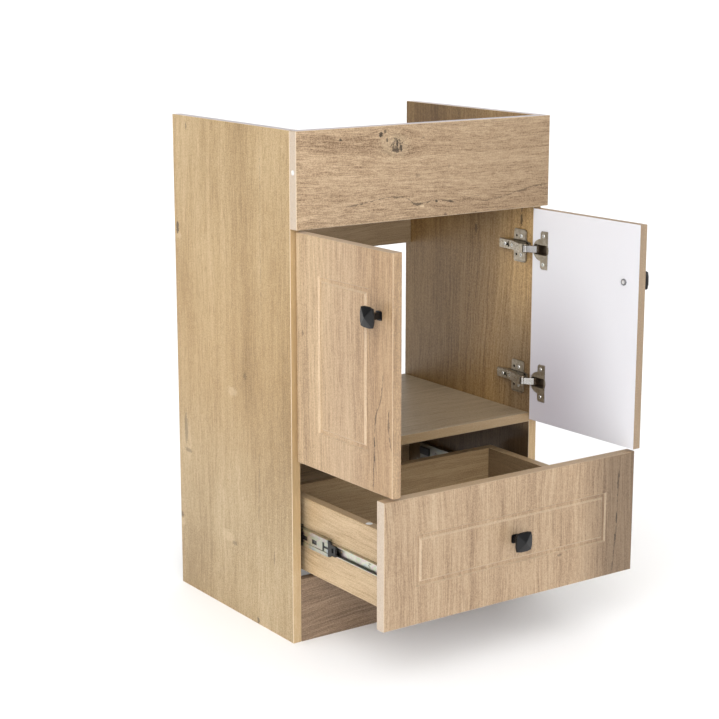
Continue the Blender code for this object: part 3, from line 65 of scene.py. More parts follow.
class Graph:
    """One material's node tree; each call adds a node and returns its output socket."""

    def __init__(self, name):
        self.material = bpy.data.materials.new(name)
        self.material.use_nodes = True
        self.tree = self.material.node_tree
        self.tree.nodes.clear()
        self.shader = self.tree.nodes.new("ShaderNodeBsdfPrincipled")
        output = self.tree.nodes.new("ShaderNodeOutputMaterial")
        self.tree.links.new(self.shader.outputs["BSDF"], output.inputs["Surface"])
        self.coordinates = self.tree.nodes.new("ShaderNodeTexCoord")
        self.count = 0

    def add(self, kind, **settings):
        node = self.tree.nodes.new(kind)
        for key, value in settings.items():
            setattr(node, key, value)
        row, place = divmod(self.count, NODES_IN_ROW)
        node.location = (-NODE_STEP[0] * (place + 1), -NODE_STEP[1] * row)
        self.count += 1
        return node

    def put(self, socket, value):
        """Links an output socket to an input, or sets the input's own value."""
        if isinstance(value, bpy.types.NodeSocket):
            self.tree.links.new(value, socket)
        else:
            socket.default_value = value

    def math(self, operation, first, second=0.0, third=0.0, clamp=False):
        node = self.add("ShaderNodeMath", operation=operation, use_clamp=clamp)
        for socket, value in zip(node.inputs, (first, second, third)):
            self.put(socket, value)
        return node.outputs[0]

    def vector(self, operation, first, second=(0.0, 0.0, 0.0)):
        node = self.add("ShaderNodeVectorMath", operation=operation)
        self.put(node.inputs[0], first)
        self.put(node.inputs[1], second)
        return node.outputs["Value"] if operation in ("LENGTH", "DOT_PRODUCT") else node.outputs["Vector"]

    def split(self, vector):
        node = self.add("ShaderNodeSeparateXYZ")
        self.put(node.inputs[0], vector)
        return node.outputs

    def join(self, x, y, z):
        node = self.add("ShaderNodeCombineXYZ")
        for socket, value in zip(node.inputs, (x, y, z)):
            self.put(socket, value)
        return node.outputs[0]

    def noise(self, vector, scale, detail=2.0, roughness=0.5, distortion=0.0):
        """Noise stretched by a scale per axis, in features per metre."""
        node = self.add("ShaderNodeTexNoise", noise_dimensions="3D")
        self.put(node.inputs["Vector"], self.vector("MULTIPLY", vector, scale))
        node.inputs["Scale"].default_value = 1.0
        node.inputs["Detail"].default_value = detail
        node.inputs["Roughness"].default_value = roughness
        node.inputs["Distortion"].default_value = distortion
        return node.outputs["Fac"]

    def spread(self, value, low, high, to_low=0.0, to_high=1.0):
        """Maps low..high smoothly to to_low..to_high, held at both ends."""
        node = self.add("ShaderNodeMapRange", interpolation_type="SMOOTHSTEP", clamp=True)
        for key, number in (("Value", value), ("From Min", low), ("From Max", high),
                            ("To Min", to_low), ("To Max", to_high)):
            self.put(node.inputs[key], number)
        return node.outputs["Result"]

    def mix(self, factor, first, second, blend="MIX"):
        node = self.add("ShaderNodeMix", data_type="RGBA", blend_type=blend, clamp_factor=True)
        self.put(node.inputs["Factor"], factor)
        self.put(node.inputs[6], first)
        self.put(node.inputs[7], second)
        return node.outputs[2]

    def ramp(self, value, stops):
        node = self.add("ShaderNodeValToRGB")
        elements = node.color_ramp.elements
        while len(elements) < len(stops):
            elements.new(0.5)
        for element, (place, colour) in zip(elements, stops):
            element.position = place
            element.color = colour
        self.put(node.inputs[0], value)
        return node.outputs["Color"]

    def curve(self, value, points):
        """A smooth curve through (0..1, 0..1) points."""
        node = self.add("ShaderNodeFloatCurve")
        curve = node.mapping.curves[0]
        curve.points[0].location = points[0]
        curve.points[1].location = points[-1]
        for point in points[1:-1]:
            curve.points.new(*point)
        node.mapping.update()
        self.put(node.inputs["Value"], value)
        return node.outputs[0]

    def bump(self, height, strength, distance):
        node = self.add("ShaderNodeBump")
        node.inputs["Strength"].default_value = strength
        node.inputs["Distance"].default_value = distance
        self.put(node.inputs["Height"], height)
        return node.outputs["Normal"]

    def finish(self, colour=None, roughness=None, normal=None, **constants):
        """Feeds the shader; constants go straight to its own sockets."""
        for key, value in (("Base Color", colour), ("Roughness", roughness), ("Normal", normal)):
            if value is not None:
                self.put(self.shader.inputs[key], value)
        for key, value in constants.items():
            self.shader.inputs[key.replace("_", " ")].default_value = value
        return self.material


# Each board's seed moves its grain this far, in metres, so that no two boards are alike.
SEED_STEP = (1.37, 0.71, 2.13)

# How much each layer of the grain moves the tone between dark and light.
BLOTCH_SHARE = 0.5
BAND_SHARE = 0.5
STREAK_SHARE = 0.6
FIBRE_SHARE = 0.8
LINE_SHARE = 0.9

# Scale of each layer in features per metre: across, through and along the board. Fibres, lines and pores
# have one pitch across, and a share of the board's dash count along.
SWAY_SCALE = (3.2, 3.2, 1.4)
RIPPLE_SCALE = (22.0, 22.0, 9.0)
BLOTCH_SCALE = (7.0, 7.0, 2.6)
BAND_SCALE = (30.0, 30.0, 0.9)
STREAK_SCALE = (125.0, 125.0, 2.6)
FLECK_SCALE = (620.0, 620.0, 460.0)
RAGGED_SCALE = (420.0, 420.0, 420.0)
JITTER_SCALE = (60.0, 60.0, 130.0)
PEEL_SCALE = (900.0, 900.0, 900.0)
CLOUD_SCALE = (5.0, 5.0, 3.0)
FIBRE_PITCH, FIBRE_DASH = 300.0, 1.0
LINE_PITCH, LINE_DASH = 640.0, 1.8
PORE_PITCH, PORE_DASH = 480.0, 3.0

# How far layers wander sideways, in metres.
SWAY_REACH = 0.075
RIPPLE_REACH = 0.012
PAINTED_SHADE_WAVE = 0.04
CRACK_JITTER = 0.006

# Where masks begin and end: noise values, shares of a mark's size, or shares of a face's normal.
PORE_RIM = (0.58, 0.72)
MARK_RIM = (0.75, 1.05)
MARK_CORE = (0.45, 0.65)
CRACK_BREAKS = (0.36, 0.64)
CRACK_RIM = (0.3, 1.0)
CRACK_END = 0.06
EDGE_FACING = (0.8, 0.95)
EDGE_FLECKS = (0.35, 0.7)
ARRIS_FACING = 0.7071
ARRIS_RIM = (0.05, 0.2)
INNER_FACING = (0.6, 0.9)
WHITE_FACING = (0.5, 0.65)

# How strongly masks and layers act on colour, gloss and height.
PORE_COVER = 0.36
EDGE_WEAR = 0.35
CRACK_THIN = 0.12
PORE_SINK = -1.6
MARK_SINK = -1.2
GRAIN_GLOSS = 0.16
GRAIN_GLOSS_DIP = 0.1
WHITE_CLOUDING = 0.10
PEEL_GLOSS = 0.12
PEEL_HEIGHT = 0.25
GRAIN_BUMP = (0.30, 0.00035)


def board_space(graph, axes, pivot=None, turn=0.0):
    """(across, through, along) coordinates of a board, and its own normal in the same order.
    A door is turned back about its hinge line first, so that it reads as when closed."""
    place = graph.coordinates.outputs["Object"]
    normal = graph.coordinates.outputs["Normal"]
    if pivot is not None:
        angle = math.radians(turn)
        x = pivot[0] - math.cos(angle) * pivot[0] + math.sin(angle) * pivot[1]
        y = pivot[1] - math.sin(angle) * pivot[0] - math.cos(angle) * pivot[1]
        moved = graph.add("ShaderNodeMapping", vector_type="POINT")
        moved.inputs["Location"].default_value = (x, y, 0.0)
        moved.inputs["Rotation"].default_value = (0.0, 0.0, angle)
        graph.put(moved.inputs["Vector"], place)
        place = moved.outputs[0]
        turned = graph.add("ShaderNodeMapping", vector_type="VECTOR")
        turned.inputs["Rotation"].default_value = (0.0, 0.0, angle)
        graph.put(turned.inputs["Vector"], normal)
        normal = turned.outputs[0]
    place = dict(zip("XYZ", graph.split(place)))
    normal = dict(zip("XYZ", graph.split(normal)))
    return ([place[axis] for axis in axes], [normal[axis] for axis in axes])


def bend_round(graph, across, point, knots):
    """Pushes the grain aside round each knot: (across, along, half width, half length, push)."""
    for knot_across, knot_along, width, length, push in knots:
        away = graph.vector("SUBTRACT", point, (knot_across, 0.0, knot_along))
        near = graph.vector("LENGTH", graph.vector("MULTIPLY", away, (1 / width, 0.0, 1 / length)))
        weight = graph.spread(near, 0.0, 1.0, push, 0.0)
        across = graph.math("SUBTRACT", across, graph.math("MULTIPLY", weight, graph.split(away)[0]))
    return across


def spots(graph, point, wobble, marks):
    """Marks with ragged rims: (across, along, half width, half length, strength, core). The core is the
    share of the strength that is left in the mark's middle."""
    total = 0.0
    for mark_across, mark_along, width, length, strength, *core in marks:
        away = graph.vector("SUBTRACT", point, (mark_across, 0.0, mark_along))
        near = graph.vector("LENGTH", graph.vector("MULTIPLY", away, (1 / width, 0.0, 1 / length)))
        ragged = graph.math("ADD", near, wobble)
        mark = graph.spread(ragged, *MARK_RIM, strength, 0.0)
        if core:
            mark = graph.math("MULTIPLY", mark, graph.spread(ragged, *MARK_CORE, core[0], 1.0))
        total = graph.math("MAXIMUM", total, mark)
    return total


def crack(graph, across, along, jitter, points, width, darkness):
    """A thin dark line through (along, across) points, broken up by the jitter."""
    start, end = points[0][0], points[-1][0]
    low = min(p[1] for p in points)
    reach = max(max(p[1] for p in points) - low, 1e-4)
    share = graph.math("DIVIDE", graph.math("SUBTRACT", along, start), end - start)
    line = graph.curve(share, [((p[0] - start) / (end - start), (p[1] - low) / reach) for p in points])
    middle = graph.math("MULTIPLY_ADD", line, reach, low)
    off = graph.math("ABSOLUTE", graph.math("SUBTRACT", across, middle))
    wide = graph.math("MULTIPLY", graph.spread(jitter, *CRACK_BREAKS, CRACK_THIN, 1.0), width)
    mask = graph.spread(graph.math("DIVIDE", off, wide), *CRACK_RIM, darkness, 0.0)
    begun = graph.spread(share, 0.0, CRACK_END)
    going = graph.spread(share, 1.0 - CRACK_END, 1.0, 1.0, 0.0)
    return graph.math("MULTIPLY", mask, graph.math("MULTIPLY", begun, going))


def oak(name, axes, seed, tones, contrast=1.0, knots=(), marks=(), pale=(), cracks=(), painted_shading=(),
        edges=(), arris_highlight=None, inside=None, inner=None, pivot=None, turn=0.0, gloss=0.46, dash=9.0,
        fleck=1.0, cloudy=1.0, fine=1.0):
    """An oak-effect board. Bands, streaks, fibres, lines and pores run along the grain.

    axes: world axes across, through and along the board; tones: dark, middle and light.
    knots, marks, pale, cracks: where the grain bends, is dark, is pale or is split.
    painted_shading: (axis, first, last, factor), painted light and shade that darkens or lightens the board
    from first to last.
    edges: (axis, sign, tone, cover) for narrow edges; arris_highlight: (tone, cover), a painted highlight on
    slanted ones.
    inside: the other finish of an inner face; inner: (sign, tint) of an inner face, the tint being painted
    shade and light.
    pivot, turn: a door's hinge line and opening; dash: fibres per metre along the grain.
    fleck, cloudy, fine: strength of the flecks, of the blotches, and of the thin layers."""
    graph = Graph(name)
    (across, through, along), (face_across, face_through, face_along) = board_space(graph, axes, pivot, turn)
    point = graph.join(across, through, along)
    start = tuple(seed * step for step in SEED_STEP)
    moved = graph.vector("ADD", point, start)
    sway = graph.noise(moved, SWAY_SCALE, detail=1.0)
    wander = graph.math("MULTIPLY_ADD", sway, SWAY_REACH, -SWAY_REACH / 2)
    ripple = graph.math("MULTIPLY_ADD", graph.noise(moved, RIPPLE_SCALE), RIPPLE_REACH, wander)
    bent = graph.math("ADD", bend_round(graph, across, point, knots), ripple)
    grain = graph.vector("ADD", graph.join(bent, through, along), start)
    blotch = graph.noise(moved, BLOTCH_SCALE)
    bands = graph.noise(grain, BAND_SCALE, detail=3.0, roughness=0.55)
    streaks = graph.noise(grain, STREAK_SCALE, detail=4.0, roughness=0.6)
    fibres = graph.noise(grain, (FIBRE_PITCH, FIBRE_PITCH, dash * FIBRE_DASH), detail=4.0, roughness=0.7)
    lines = graph.noise(grain, (LINE_PITCH, LINE_PITCH, dash * LINE_DASH), roughness=0.6)
    flecks = graph.noise(moved, FLECK_SCALE, detail=1.0)
    pores = graph.noise(grain, (PORE_PITCH, PORE_PITCH, dash * PORE_DASH), detail=1.0)
    layers = ((blotch, BLOTCH_SHARE * cloudy), (bands, BAND_SHARE), (streaks, STREAK_SHARE * fine),
              (fibres, FIBRE_SHARE * fine), (lines, LINE_SHARE * fine), (flecks, fleck))
    tone = 0.0
    for layer, share in layers:
        tone = graph.math("MULTIPLY_ADD", layer, share, tone)
    middle = sum(share for _, share in layers) / 2
    tone = graph.math("MULTIPLY_ADD", graph.math("SUBTRACT", tone, middle), contrast, 0.5, clamp=True)
    dark, mid, light = tones
    colour = graph.ramp(tone, ((0.0, dark), (0.5, mid), (1.0, light)))
    pore = graph.spread(pores, *PORE_RIM, 0.0, PORE_COVER)
    colour = graph.mix(pore, colour, dark)
    # Painted light and shade along the board, with a wavy edge.
    for axis, first, last, painted_factor in painted_shading:
        place = across if axis == "across" else along
        wave = graph.math("MULTIPLY_ADD", bands, PAINTED_SHADE_WAVE, -PAINTED_SHADE_WAVE / 2)
        wavy = graph.math("ADD", place, wave)
        colour = graph.mix(graph.spread(wavy, first, last), colour, painted_factor, "MULTIPLY")
    wobble = graph.math("MULTIPLY_ADD", graph.noise(moved, RAGGED_SCALE, roughness=0.6), 2.0, -1.0)
    if pale:
        flake = spots(graph, point, wobble, pale)
        colour = graph.mix(flake, colour, FLAKE_TONE)
    hurt = 0.0
    if marks:
        hurt = spots(graph, point, wobble, marks)
    if cracks:
        jitter = graph.noise(moved, JITTER_SCALE, roughness=0.6)
        shift = graph.math("MULTIPLY_ADD", jitter, CRACK_JITTER, -CRACK_JITTER / 2)
        crack_across = graph.math("ADD", across, shift)
        for points, width, darkness in cracks:
            line = crack(graph, crack_across, along, jitter, points, width, darkness)
            hurt = graph.math("MAXIMUM", hurt, line)
    if marks or cracks:
        colour = graph.mix(hurt, colour, MARK_TONE)
    height = graph.math("MULTIPLY_ADD", pore, PORE_SINK, fibres)
    if marks or cracks:
        height = graph.math("MULTIPLY_ADD", hurt, MARK_SINK, height)
    for axis, sign, edge_tone, cover in edges:
        facing = face_across if axis == "across" else face_along
        band = graph.spread(graph.math("MULTIPLY", facing, sign), *EDGE_FACING)
        veil = graph.spread(flecks, *EDGE_FLECKS, cover, cover - EDGE_WEAR)
        colour = graph.mix(band, colour, graph.mix(veil, colour, edge_tone))
    # A painted highlight on slanted edges.
    if arris_highlight is not None:
        highlight_tone, cover = arris_highlight
        tilt = graph.math("SUBTRACT", graph.math("ABSOLUTE", face_through), ARRIS_FACING)
        slanted = graph.math("ABSOLUTE", tilt)
        colour = graph.mix(graph.spread(slanted, *ARRIS_RIM, cover, 0.0), colour, highlight_tone)
    # Painted shade and light on an inner face.
    if inner is not None:
        sign, tint = inner
        faced = graph.spread(graph.math("MULTIPLY", face_through, sign), *INNER_FACING)
        if callable(tint):
            tint = tint(graph, across, along)
        colour = graph.mix(faced, colour, tint, "MULTIPLY")
    relief = graph.math("ADD", fibres, pore)
    roughness = graph.math("MULTIPLY_ADD", relief, GRAIN_GLOSS, gloss - GRAIN_GLOSS_DIP)
    if inside is not None:
        mask, inner_tone, inner_gloss = inside(graph, face_through, across, along)
        peel = graph.noise(moved, PEEL_SCALE, detail=1.0)
        cloud = graph.noise(moved, CLOUD_SCALE)
        clouded = graph.mix(graph.math("MULTIPLY", cloud, WHITE_CLOUDING), inner_tone, WHITE_CLOUD)
        colour = graph.mix(mask, colour, clouded)
        swap = graph.add("ShaderNodeMix", data_type="FLOAT")
        graph.put(swap.inputs[0], mask)
        graph.put(swap.inputs[2], roughness)
        graph.put(swap.inputs[3], graph.math("MULTIPLY_ADD", peel, PEEL_GLOSS, inner_gloss))
        roughness = swap.outputs[0]
        height = graph.math("MULTIPLY", height, graph.math("SUBTRACT", 1.0, mask))
        height = graph.math("MULTIPLY_ADD", peel, PEEL_HEIGHT, height)
    return graph.finish(colour, roughness, graph.bump(height, *GRAIN_BUMP))


# Ranges of the painted shade and light on a side panel's inner face in metres: back from the carcass front,
# and up from the floor.
DEEP_FADE = (-0.02, 0.26)
TOP_SHADOW_DEPTH = (0.03, 0.14)
TOP_SHADOW_RISE = (0.60, 0.67)
FASCIA_FOOT = (0.69, 0.72)
UNDER_SHELF = (0.27, 0.30)
PALING_DEPTH = (0.02, 0.11)
PALING_RISE = (0.37, 0.58)
BORE_RIM = (0.0030, 0.0036)

# The painted shade round the lower hinge on a door's white face, a greyer patch: factor and offset that
# measure it from its middle, outwards and upwards, and where it ends in that measure.
GREY_OUT = (6.2, -1.24)
GREY_UP = (4.0, -1.34)
GREY_REACH = 1.15
WHITE_GLOSS = 0.30


def hinge_rise(graph, up):
    """Height over or under the middle of the nearer hinge."""
    gaps = [graph.math("ABSOLUTE", graph.math("SUBTRACT", up, height)) for height in HINGE_HEIGHTS]
    return graph.math("MINIMUM", *gaps)


def from_point(graph, first, second, place):
    """Distance of two coordinates from a place in their plane."""
    away = graph.join(graph.math("SUBTRACT", first, place[0]), graph.math("SUBTRACT", second, place[1]), 0.0)
    return graph.vector("LENGTH", away)


def side_inside(graph, deep, up):
    """Tint of a side panel's inner face, all of it painted shade: darker deep inside, under the fascia and
    under the shelf, and black in the spare hinge bores."""
    tint = graph.mix(graph.spread(deep, *DEEP_FADE), SIDE_INNER_FRONT_SHADE, SIDE_INNER_DEEP_SHADE)
    risen = graph.spread(up, *TOP_SHADOW_RISE)
    below = graph.spread(up, *FASCIA_FOOT, 1.0, 0.0)
    under_fascia = graph.math("MULTIPLY", risen, below)
    shadow = graph.math("MULTIPLY", under_fascia, graph.spread(deep, *TOP_SHADOW_DEPTH))
    tint = graph.mix(shadow, tint, SIDE_INNER_TOP_SHADE, "MULTIPLY")
    tint = graph.mix(graph.spread(up, *UNDER_SHELF, 1.0, 0.0), tint, SIDE_UNDER_SHELF_SHADE)
    # Painted shade in the spare hinge bores.
    bore = from_point(graph, deep, hinge_rise(graph, up), (SPARE_BORE_Y, WING_SCREW_RISE))
    return graph.mix(graph.spread(bore, *BORE_RIM, 1.0, 0.0), tint, BORE_SHADE)


def right_inside(graph, deep, up):
    """Tint of the right side panel's inner face, with painted light and shade: near its front edge it pales
    upwards.
    """
    tint = side_inside(graph, deep, up)
    front_painted_light = graph.mix(graph.spread(up, *PALING_RISE), RIGHT_FRONT_LOW_SHADE, RIGHT_FRONT_HIGH_LIGHT)
    shallow = graph.spread(deep, *PALING_DEPTH, 1.0, 0.0)
    below = graph.spread(up, *FASCIA_FOOT, 1.0, 0.0)
    near_front = graph.math("MULTIPLY", shallow, below)
    return graph.mix(near_front, tint, front_painted_light, "MULTIPLY")


def white_inside(graph, face_through, across, along):
    """The doors' white inner face with the hinge-side chamfer, and painted shade that makes it a little
    greyer round the lower hinge.
    """
    from_hinge = graph.math("MULTIPLY_ADD", graph.math("ABSOLUTE", across), *GREY_OUT)
    from_low = graph.math("MULTIPLY_ADD", along, *GREY_UP)
    away = graph.vector("LENGTH", graph.join(from_hinge, from_low, 0.0))
    tone = graph.mix(graph.spread(away, 0.0, GREY_REACH), WHITE_HINGE_SHADE, WHITE_FACE)
    return (graph.spread(face_through, *WHITE_FACING), tone, WHITE_GLOSS)


# Tones of the boards: dark, middle and light.
SIDE_TONES = (srgb(146, 117, 76), srgb(186, 157, 113), srgb(212, 187, 146))
FASCIA_TONES = (srgb(123, 96, 69), srgb(187, 159, 127), srgb(217, 191, 158))
FRONT_TONES = (srgb(136, 107, 79), srgb(188, 158, 125), srgb(212, 186, 152))
SHELF_TONES = (srgb(128, 108, 84), srgb(166, 148, 122), srgb(188, 170, 144))
RAIL_TONES = (srgb(117, 96, 72), srgb(153, 132, 104), srgb(174, 153, 125))
LOW_RAIL_TONES = (srgb(150, 125, 95), srgb(195, 170, 135), srgb(220, 195, 160))
PLINTH_TONES = (srgb(94, 74, 56), srgb(136, 113, 91), srgb(160, 138, 114))
DRAWER_TONES = (srgb(164, 134, 96), srgb(202, 175, 138), srgb(222, 199, 162))
DRAWER_BACK_TONES = (srgb(134, 108, 76), srgb(174, 147, 110), srgb(196, 172, 134))
# The drawer front's tones are the door tones painted darker, as shade.
DRAWER_FRONT_SHADED_TONES = (srgb(129, 102, 77), srgb(178, 151, 121), srgb(200, 176, 146))

# Tones of marks, edges, and the doors' white face, with a painted highlight for slanted edges and painted
# shade near the lower hinge.
FLAKE_TONE = srgb(226, 204, 168)
MARK_TONE = srgb(38, 23, 12)
WHITE_FACE = srgb(248, 249, 255)
WHITE_HINGE_SHADE = srgb(208, 204, 213)
WHITE_CLOUD = srgb(184, 180, 190)
PALE_EDGE = srgb(216, 200, 182)
ARRIS_HIGHLIGHT = srgb(236, 218, 192)
CUT_TOP = srgb(238, 232, 240)
SHELF_EDGE = srgb(164, 135, 94)
FRONT_EDGE = srgb(206, 176, 134)
FREE_EDGE = srgb(152, 132, 109)
DRAWER_TOP = srgb(172, 146, 112)
DRAWER_FRONT_TOP = srgb(216, 188, 152)

# Painted shade and light: tints of inner faces, which multiply the board's tone, and painted shade in
# crevices and bores and on darker zinc.
SIDE_INNER_FRONT_SHADE = srgb(234, 223, 204)
SIDE_INNER_DEEP_SHADE = srgb(174, 160, 134)
SIDE_INNER_TOP_SHADE = srgb(184, 182, 184)
SIDE_UNDER_SHELF_SHADE = srgb(126, 114, 98)
RIGHT_FRONT_LOW_SHADE = (0.55, 0.57, 0.68, 1.0)
RIGHT_FRONT_HIGH_LIGHT = (1.36, 1.40, 1.44, 1.0)
DRAWER_LEFT_INNER_SHADE = srgb(190, 186, 180)
DRAWER_RIGHT_INNER_SHADE = srgb(158, 152, 144)
BORE_SHADE = srgb(40, 34, 30)
CREVICE_SHADE = srgb(34, 29, 25)
ZINC_SHADE = srgb(104, 104, 98)

# Knots are (across, along, half width, half length, push), marks and pale spots (across, along, half
# width, half length, strength, core if any), cracks (points along and across, width, darkness), and
# painted shading (axis, from, to, factor at the end), which is painted light and shade along a board. Places
# are in metres.
SIDE_KNOTS = ((0.306, 0.804, 0.030, 0.060, 0.7), (0.113, 0.786, 0.028, 0.060, 0.7),
              (0.342, 0.631, 0.022, 0.050, 0.7), (0.131, 0.414, 0.020, 0.045, 0.6),
              (0.326, 0.275, 0.030, 0.085, 0.75), (0.182, 0.123, 0.034, 0.060, 0.7),
              (0.050, 0.322, 0.022, 0.060, 0.6))
SIDE_MARKS = ((0.342, 0.631, 0.0045, 0.012, 0.75), (0.307, 0.803, 0.003, 0.006, 0.45),
              (0.131, 0.414, 0.006, 0.006, 0.35), (0.327, 0.285, 0.006, 0.030, 0.40),
              (0.321, 0.247, 0.012, 0.004, 0.40), (0.348, 0.125, 0.005, 0.006, 0.55),
              (0.098, 0.006, 0.004, 0.006, 0.6), (0.170, 0.120, 0.008, 0.004, 0.35),
              (0.047, 0.129, 0.002, 0.012, 0.4))
SIDE_PALE = ((0.171, 0.381, 0.016, 0.008, 0.3), (0.192, 0.128, 0.020, 0.010, 0.3),
             (0.328, 0.262, 0.020, 0.045, 0.15), (0.345, 0.112, 0.008, 0.008, 0.3),
             (0.338, 0.618, 0.008, 0.006, 0.3))
SIDE_CRACKS = ((((0.497, 0.0775), (0.60, 0.0795), (0.72, 0.078), (0.816, 0.0791)), 0.0016, 0.30),
               (((0.18, 0.0942), (0.24, 0.091), (0.298, 0.0894)), 0.0018, 0.35))
RIGHT_KNOTS = ((0.022, 0.650, 0.014, 0.080, 0.6), (0.1445, 0.613, 0.014, 0.040, 0.6))
RIGHT_MARKS = ((0.1445, 0.613, 0.004, 0.009, 0.55), (0.022, 0.664, 0.002, 0.010, 0.7),
               (0.0222, 0.640, 0.003, 0.011, 0.7))
FASCIA_KNOTS = ((0.7885, -0.0621, 0.038, 0.075, 0.8), (0.806, -0.0931, 0.018, 0.040, 0.7),
                (0.690, 0.020, 0.022, 0.090, 0.5))
FASCIA_MARKS = ((0.7885, -0.0621, 0.0120, 0.0115, 0.8, 0.3), (0.806, -0.0931, 0.0042, 0.0036, 0.9),
                (0.797, -0.0815, 0.004, 0.002, 0.8), (0.811, -0.085, 0.003, 0.003, 0.7),
                (0.790, -0.0622, 0.0095, 0.0016, 0.95), (0.784, -0.0545, 0.0060, 0.0022, 0.9),
                (0.781, -0.0640, 0.0025, 0.0075, 0.8),
                (0.8024, -0.1686, 0.0020, 0.0022, 0.8), (0.7975, -0.0112, 0.0016, 0.0022, 0.5),
                (0.749, 0.0404, 0.003, 0.002, 0.3), (0.738, -0.0216, 0.003, 0.006, 0.25),
                (0.6725, 0.0341, 0.003, 0.003, 0.5), (0.6955, 0.0157, 0.0022, 0.0026, 0.8),
                (0.693, 0.0441, 0.0022, 0.004, 0.8), (0.693, -0.0203, 0.0022, 0.008, 0.7))
FASCIA_PALE = ((0.7885, -0.066, 0.022, 0.030, 0.25), (0.689, -0.012, 0.002, 0.004, 0.6))
FASCIA_CRACKS = ((((-0.16, 0.699), (-0.1234, 0.7026), (-0.0656, 0.7075), (-0.0401, 0.7026),
                   (-0.0203, 0.694), (0.0157, 0.6965), (0.0441, 0.693), (0.0605, 0.6875)), 0.0020, 0.60),
                 (((0.06, 0.687), (0.0851, 0.6964), (0.105, 0.6985)), 0.0020, 0.35),
                 (((0.105, 0.688), (0.127, 0.690), (0.155, 0.6935), (0.1906, 0.7002), (0.22, 0.705),
                   (0.2493, 0.7065)), 0.0019, 0.45))
# Painted shade that darkens the fascia towards its right end.
FASCIA_PAINTED_SHADE = (("along", -0.25, 0.26, (0.70, 0.68, 0.65, 1.0)),)
# Painted shade and light down the left side panel: darker from the top to the middle, paler low down.
SIDE_PAINTED_SHADING = (("along", 0.78, 0.50, (0.93, 0.89, 0.82, 1.0)),
               ("along", 0.44, 0.12, (1.07, 1.19, 1.45, 1.0)))
# Painted light on the left door's hinge side and painted shade towards its free edge.
LEFT_DOOR_PAINTED_SHADING = (("across", -0.12, -0.21, (1.12, 1.14, 1.10, 1.0)),
                    ("across", -0.11, -0.03, (0.92, 0.87, 0.80, 1.0)))
LEFT_DOOR_KNOTS = ((-0.0106, 0.405, 0.020, 0.090, 0.6),)
LEFT_DOOR_MARKS = ((-0.0106, 0.4127, 0.003, 0.010, 0.5), (-0.0448, 0.378, 0.0018, 0.006, 0.8),
                   (-0.045, 0.355, 0.0018, 0.007, 0.8), (-0.0425, 0.415, 0.0018, 0.008, 0.7),
                   (-0.2305, 0.512, 0.003, 0.004, 0.4))
LEFT_DOOR_CRACKS = ((((0.305, -0.0472), (0.3246, -0.0471), (0.36, -0.0448), (0.39, -0.0445),
                      (0.4133, -0.0425), (0.4537, -0.0279), (0.49, -0.024)), 0.0020, 0.62),
                    (((0.375, -0.0032), (0.395, -0.008), (0.4127, -0.0106), (0.44, -0.0085)), 0.0022, 0.55))
DRAWER_MARKS = ((0.2127, 0.190, 0.0016, 0.010, 0.85), (0.2110, 0.158, 0.0016, 0.008, 0.8),
                (0.2155, 0.262, 0.0016, 0.007, 0.7), (0.0923, 0.1514, 0.004, 0.002, 0.45))
DRAWER_CRACKS = ((((0.098, 0.206), (0.130, 0.2085), (0.1714, 0.2127), (0.230, 0.214), (0.2788, 0.216)),
                  0.0022, 0.60),
                 (((0.210, 0.0300), (0.2248, 0.0295), (0.24, 0.0298)), 0.0014, 0.5))
# Painted shade on the right part of the drawer front.
DRAWER_PAINTED_SHADE = (("across", 0.12, 0.21, (0.50, 0.48, 0.46, 1.0)),)

# Axes of a board: across, through and along its grain.
YXZ, XYZ, ZYX, YZX, ZXY = "YXZ", "XYZ", "ZYX", "YZX", "ZXY"
LEFT_HINGE = ((-HINGE_OUT, HINGE_Y), LEFT_OPEN)
RIGHT_HINGE = ((HINGE_OUT, HINGE_Y), -RIGHT_OPEN)

# Narrow edges: axis and sign of the edge's normal, tone and cover.
PANEL_EDGES = (("along", 1.0, CUT_TOP, 0.95), ("across", -1.0, FRONT_EDGE, 0.6))
FASCIA_EDGES = (("along", -1.0, PALE_EDGE, 0.9), ("along", 1.0, PALE_EDGE, 0.9),
                ("across", 1.0, CUT_TOP, 0.95))
LEFT_DOOR_EDGES = (("across", 1.0, FREE_EDGE, 0.4), ("along", 1.0, PALE_EDGE, 0.6))
RIGHT_DOOR_EDGES = (("across", -1.0, FREE_EDGE, 0.95),)
DRAWER_FRONT_EDGES = (("across", -1.0, PALE_EDGE, 0.9), ("across", 1.0, PALE_EDGE, 0.9),
                      ("along", 1.0, DRAWER_FRONT_TOP, 0.6))
SHELF_EDGES = (("across", -1.0, SHELF_EDGE, 0.8),)
DRAWER_EDGES = (("across", 1.0, DRAWER_TOP, 0.9),)
# Painted highlights on slanted edges: tone and cover.
PANEL_ARRIS_HIGHLIGHT = (ARRIS_HIGHLIGHT, 0.85)
DOOR_ARRIS_HIGHLIGHT = (ARRIS_HIGHLIGHT, 0.34)
DRAWER_ARRIS_HIGHLIGHT = (ARRIS_HIGHLIGHT, 0.3)

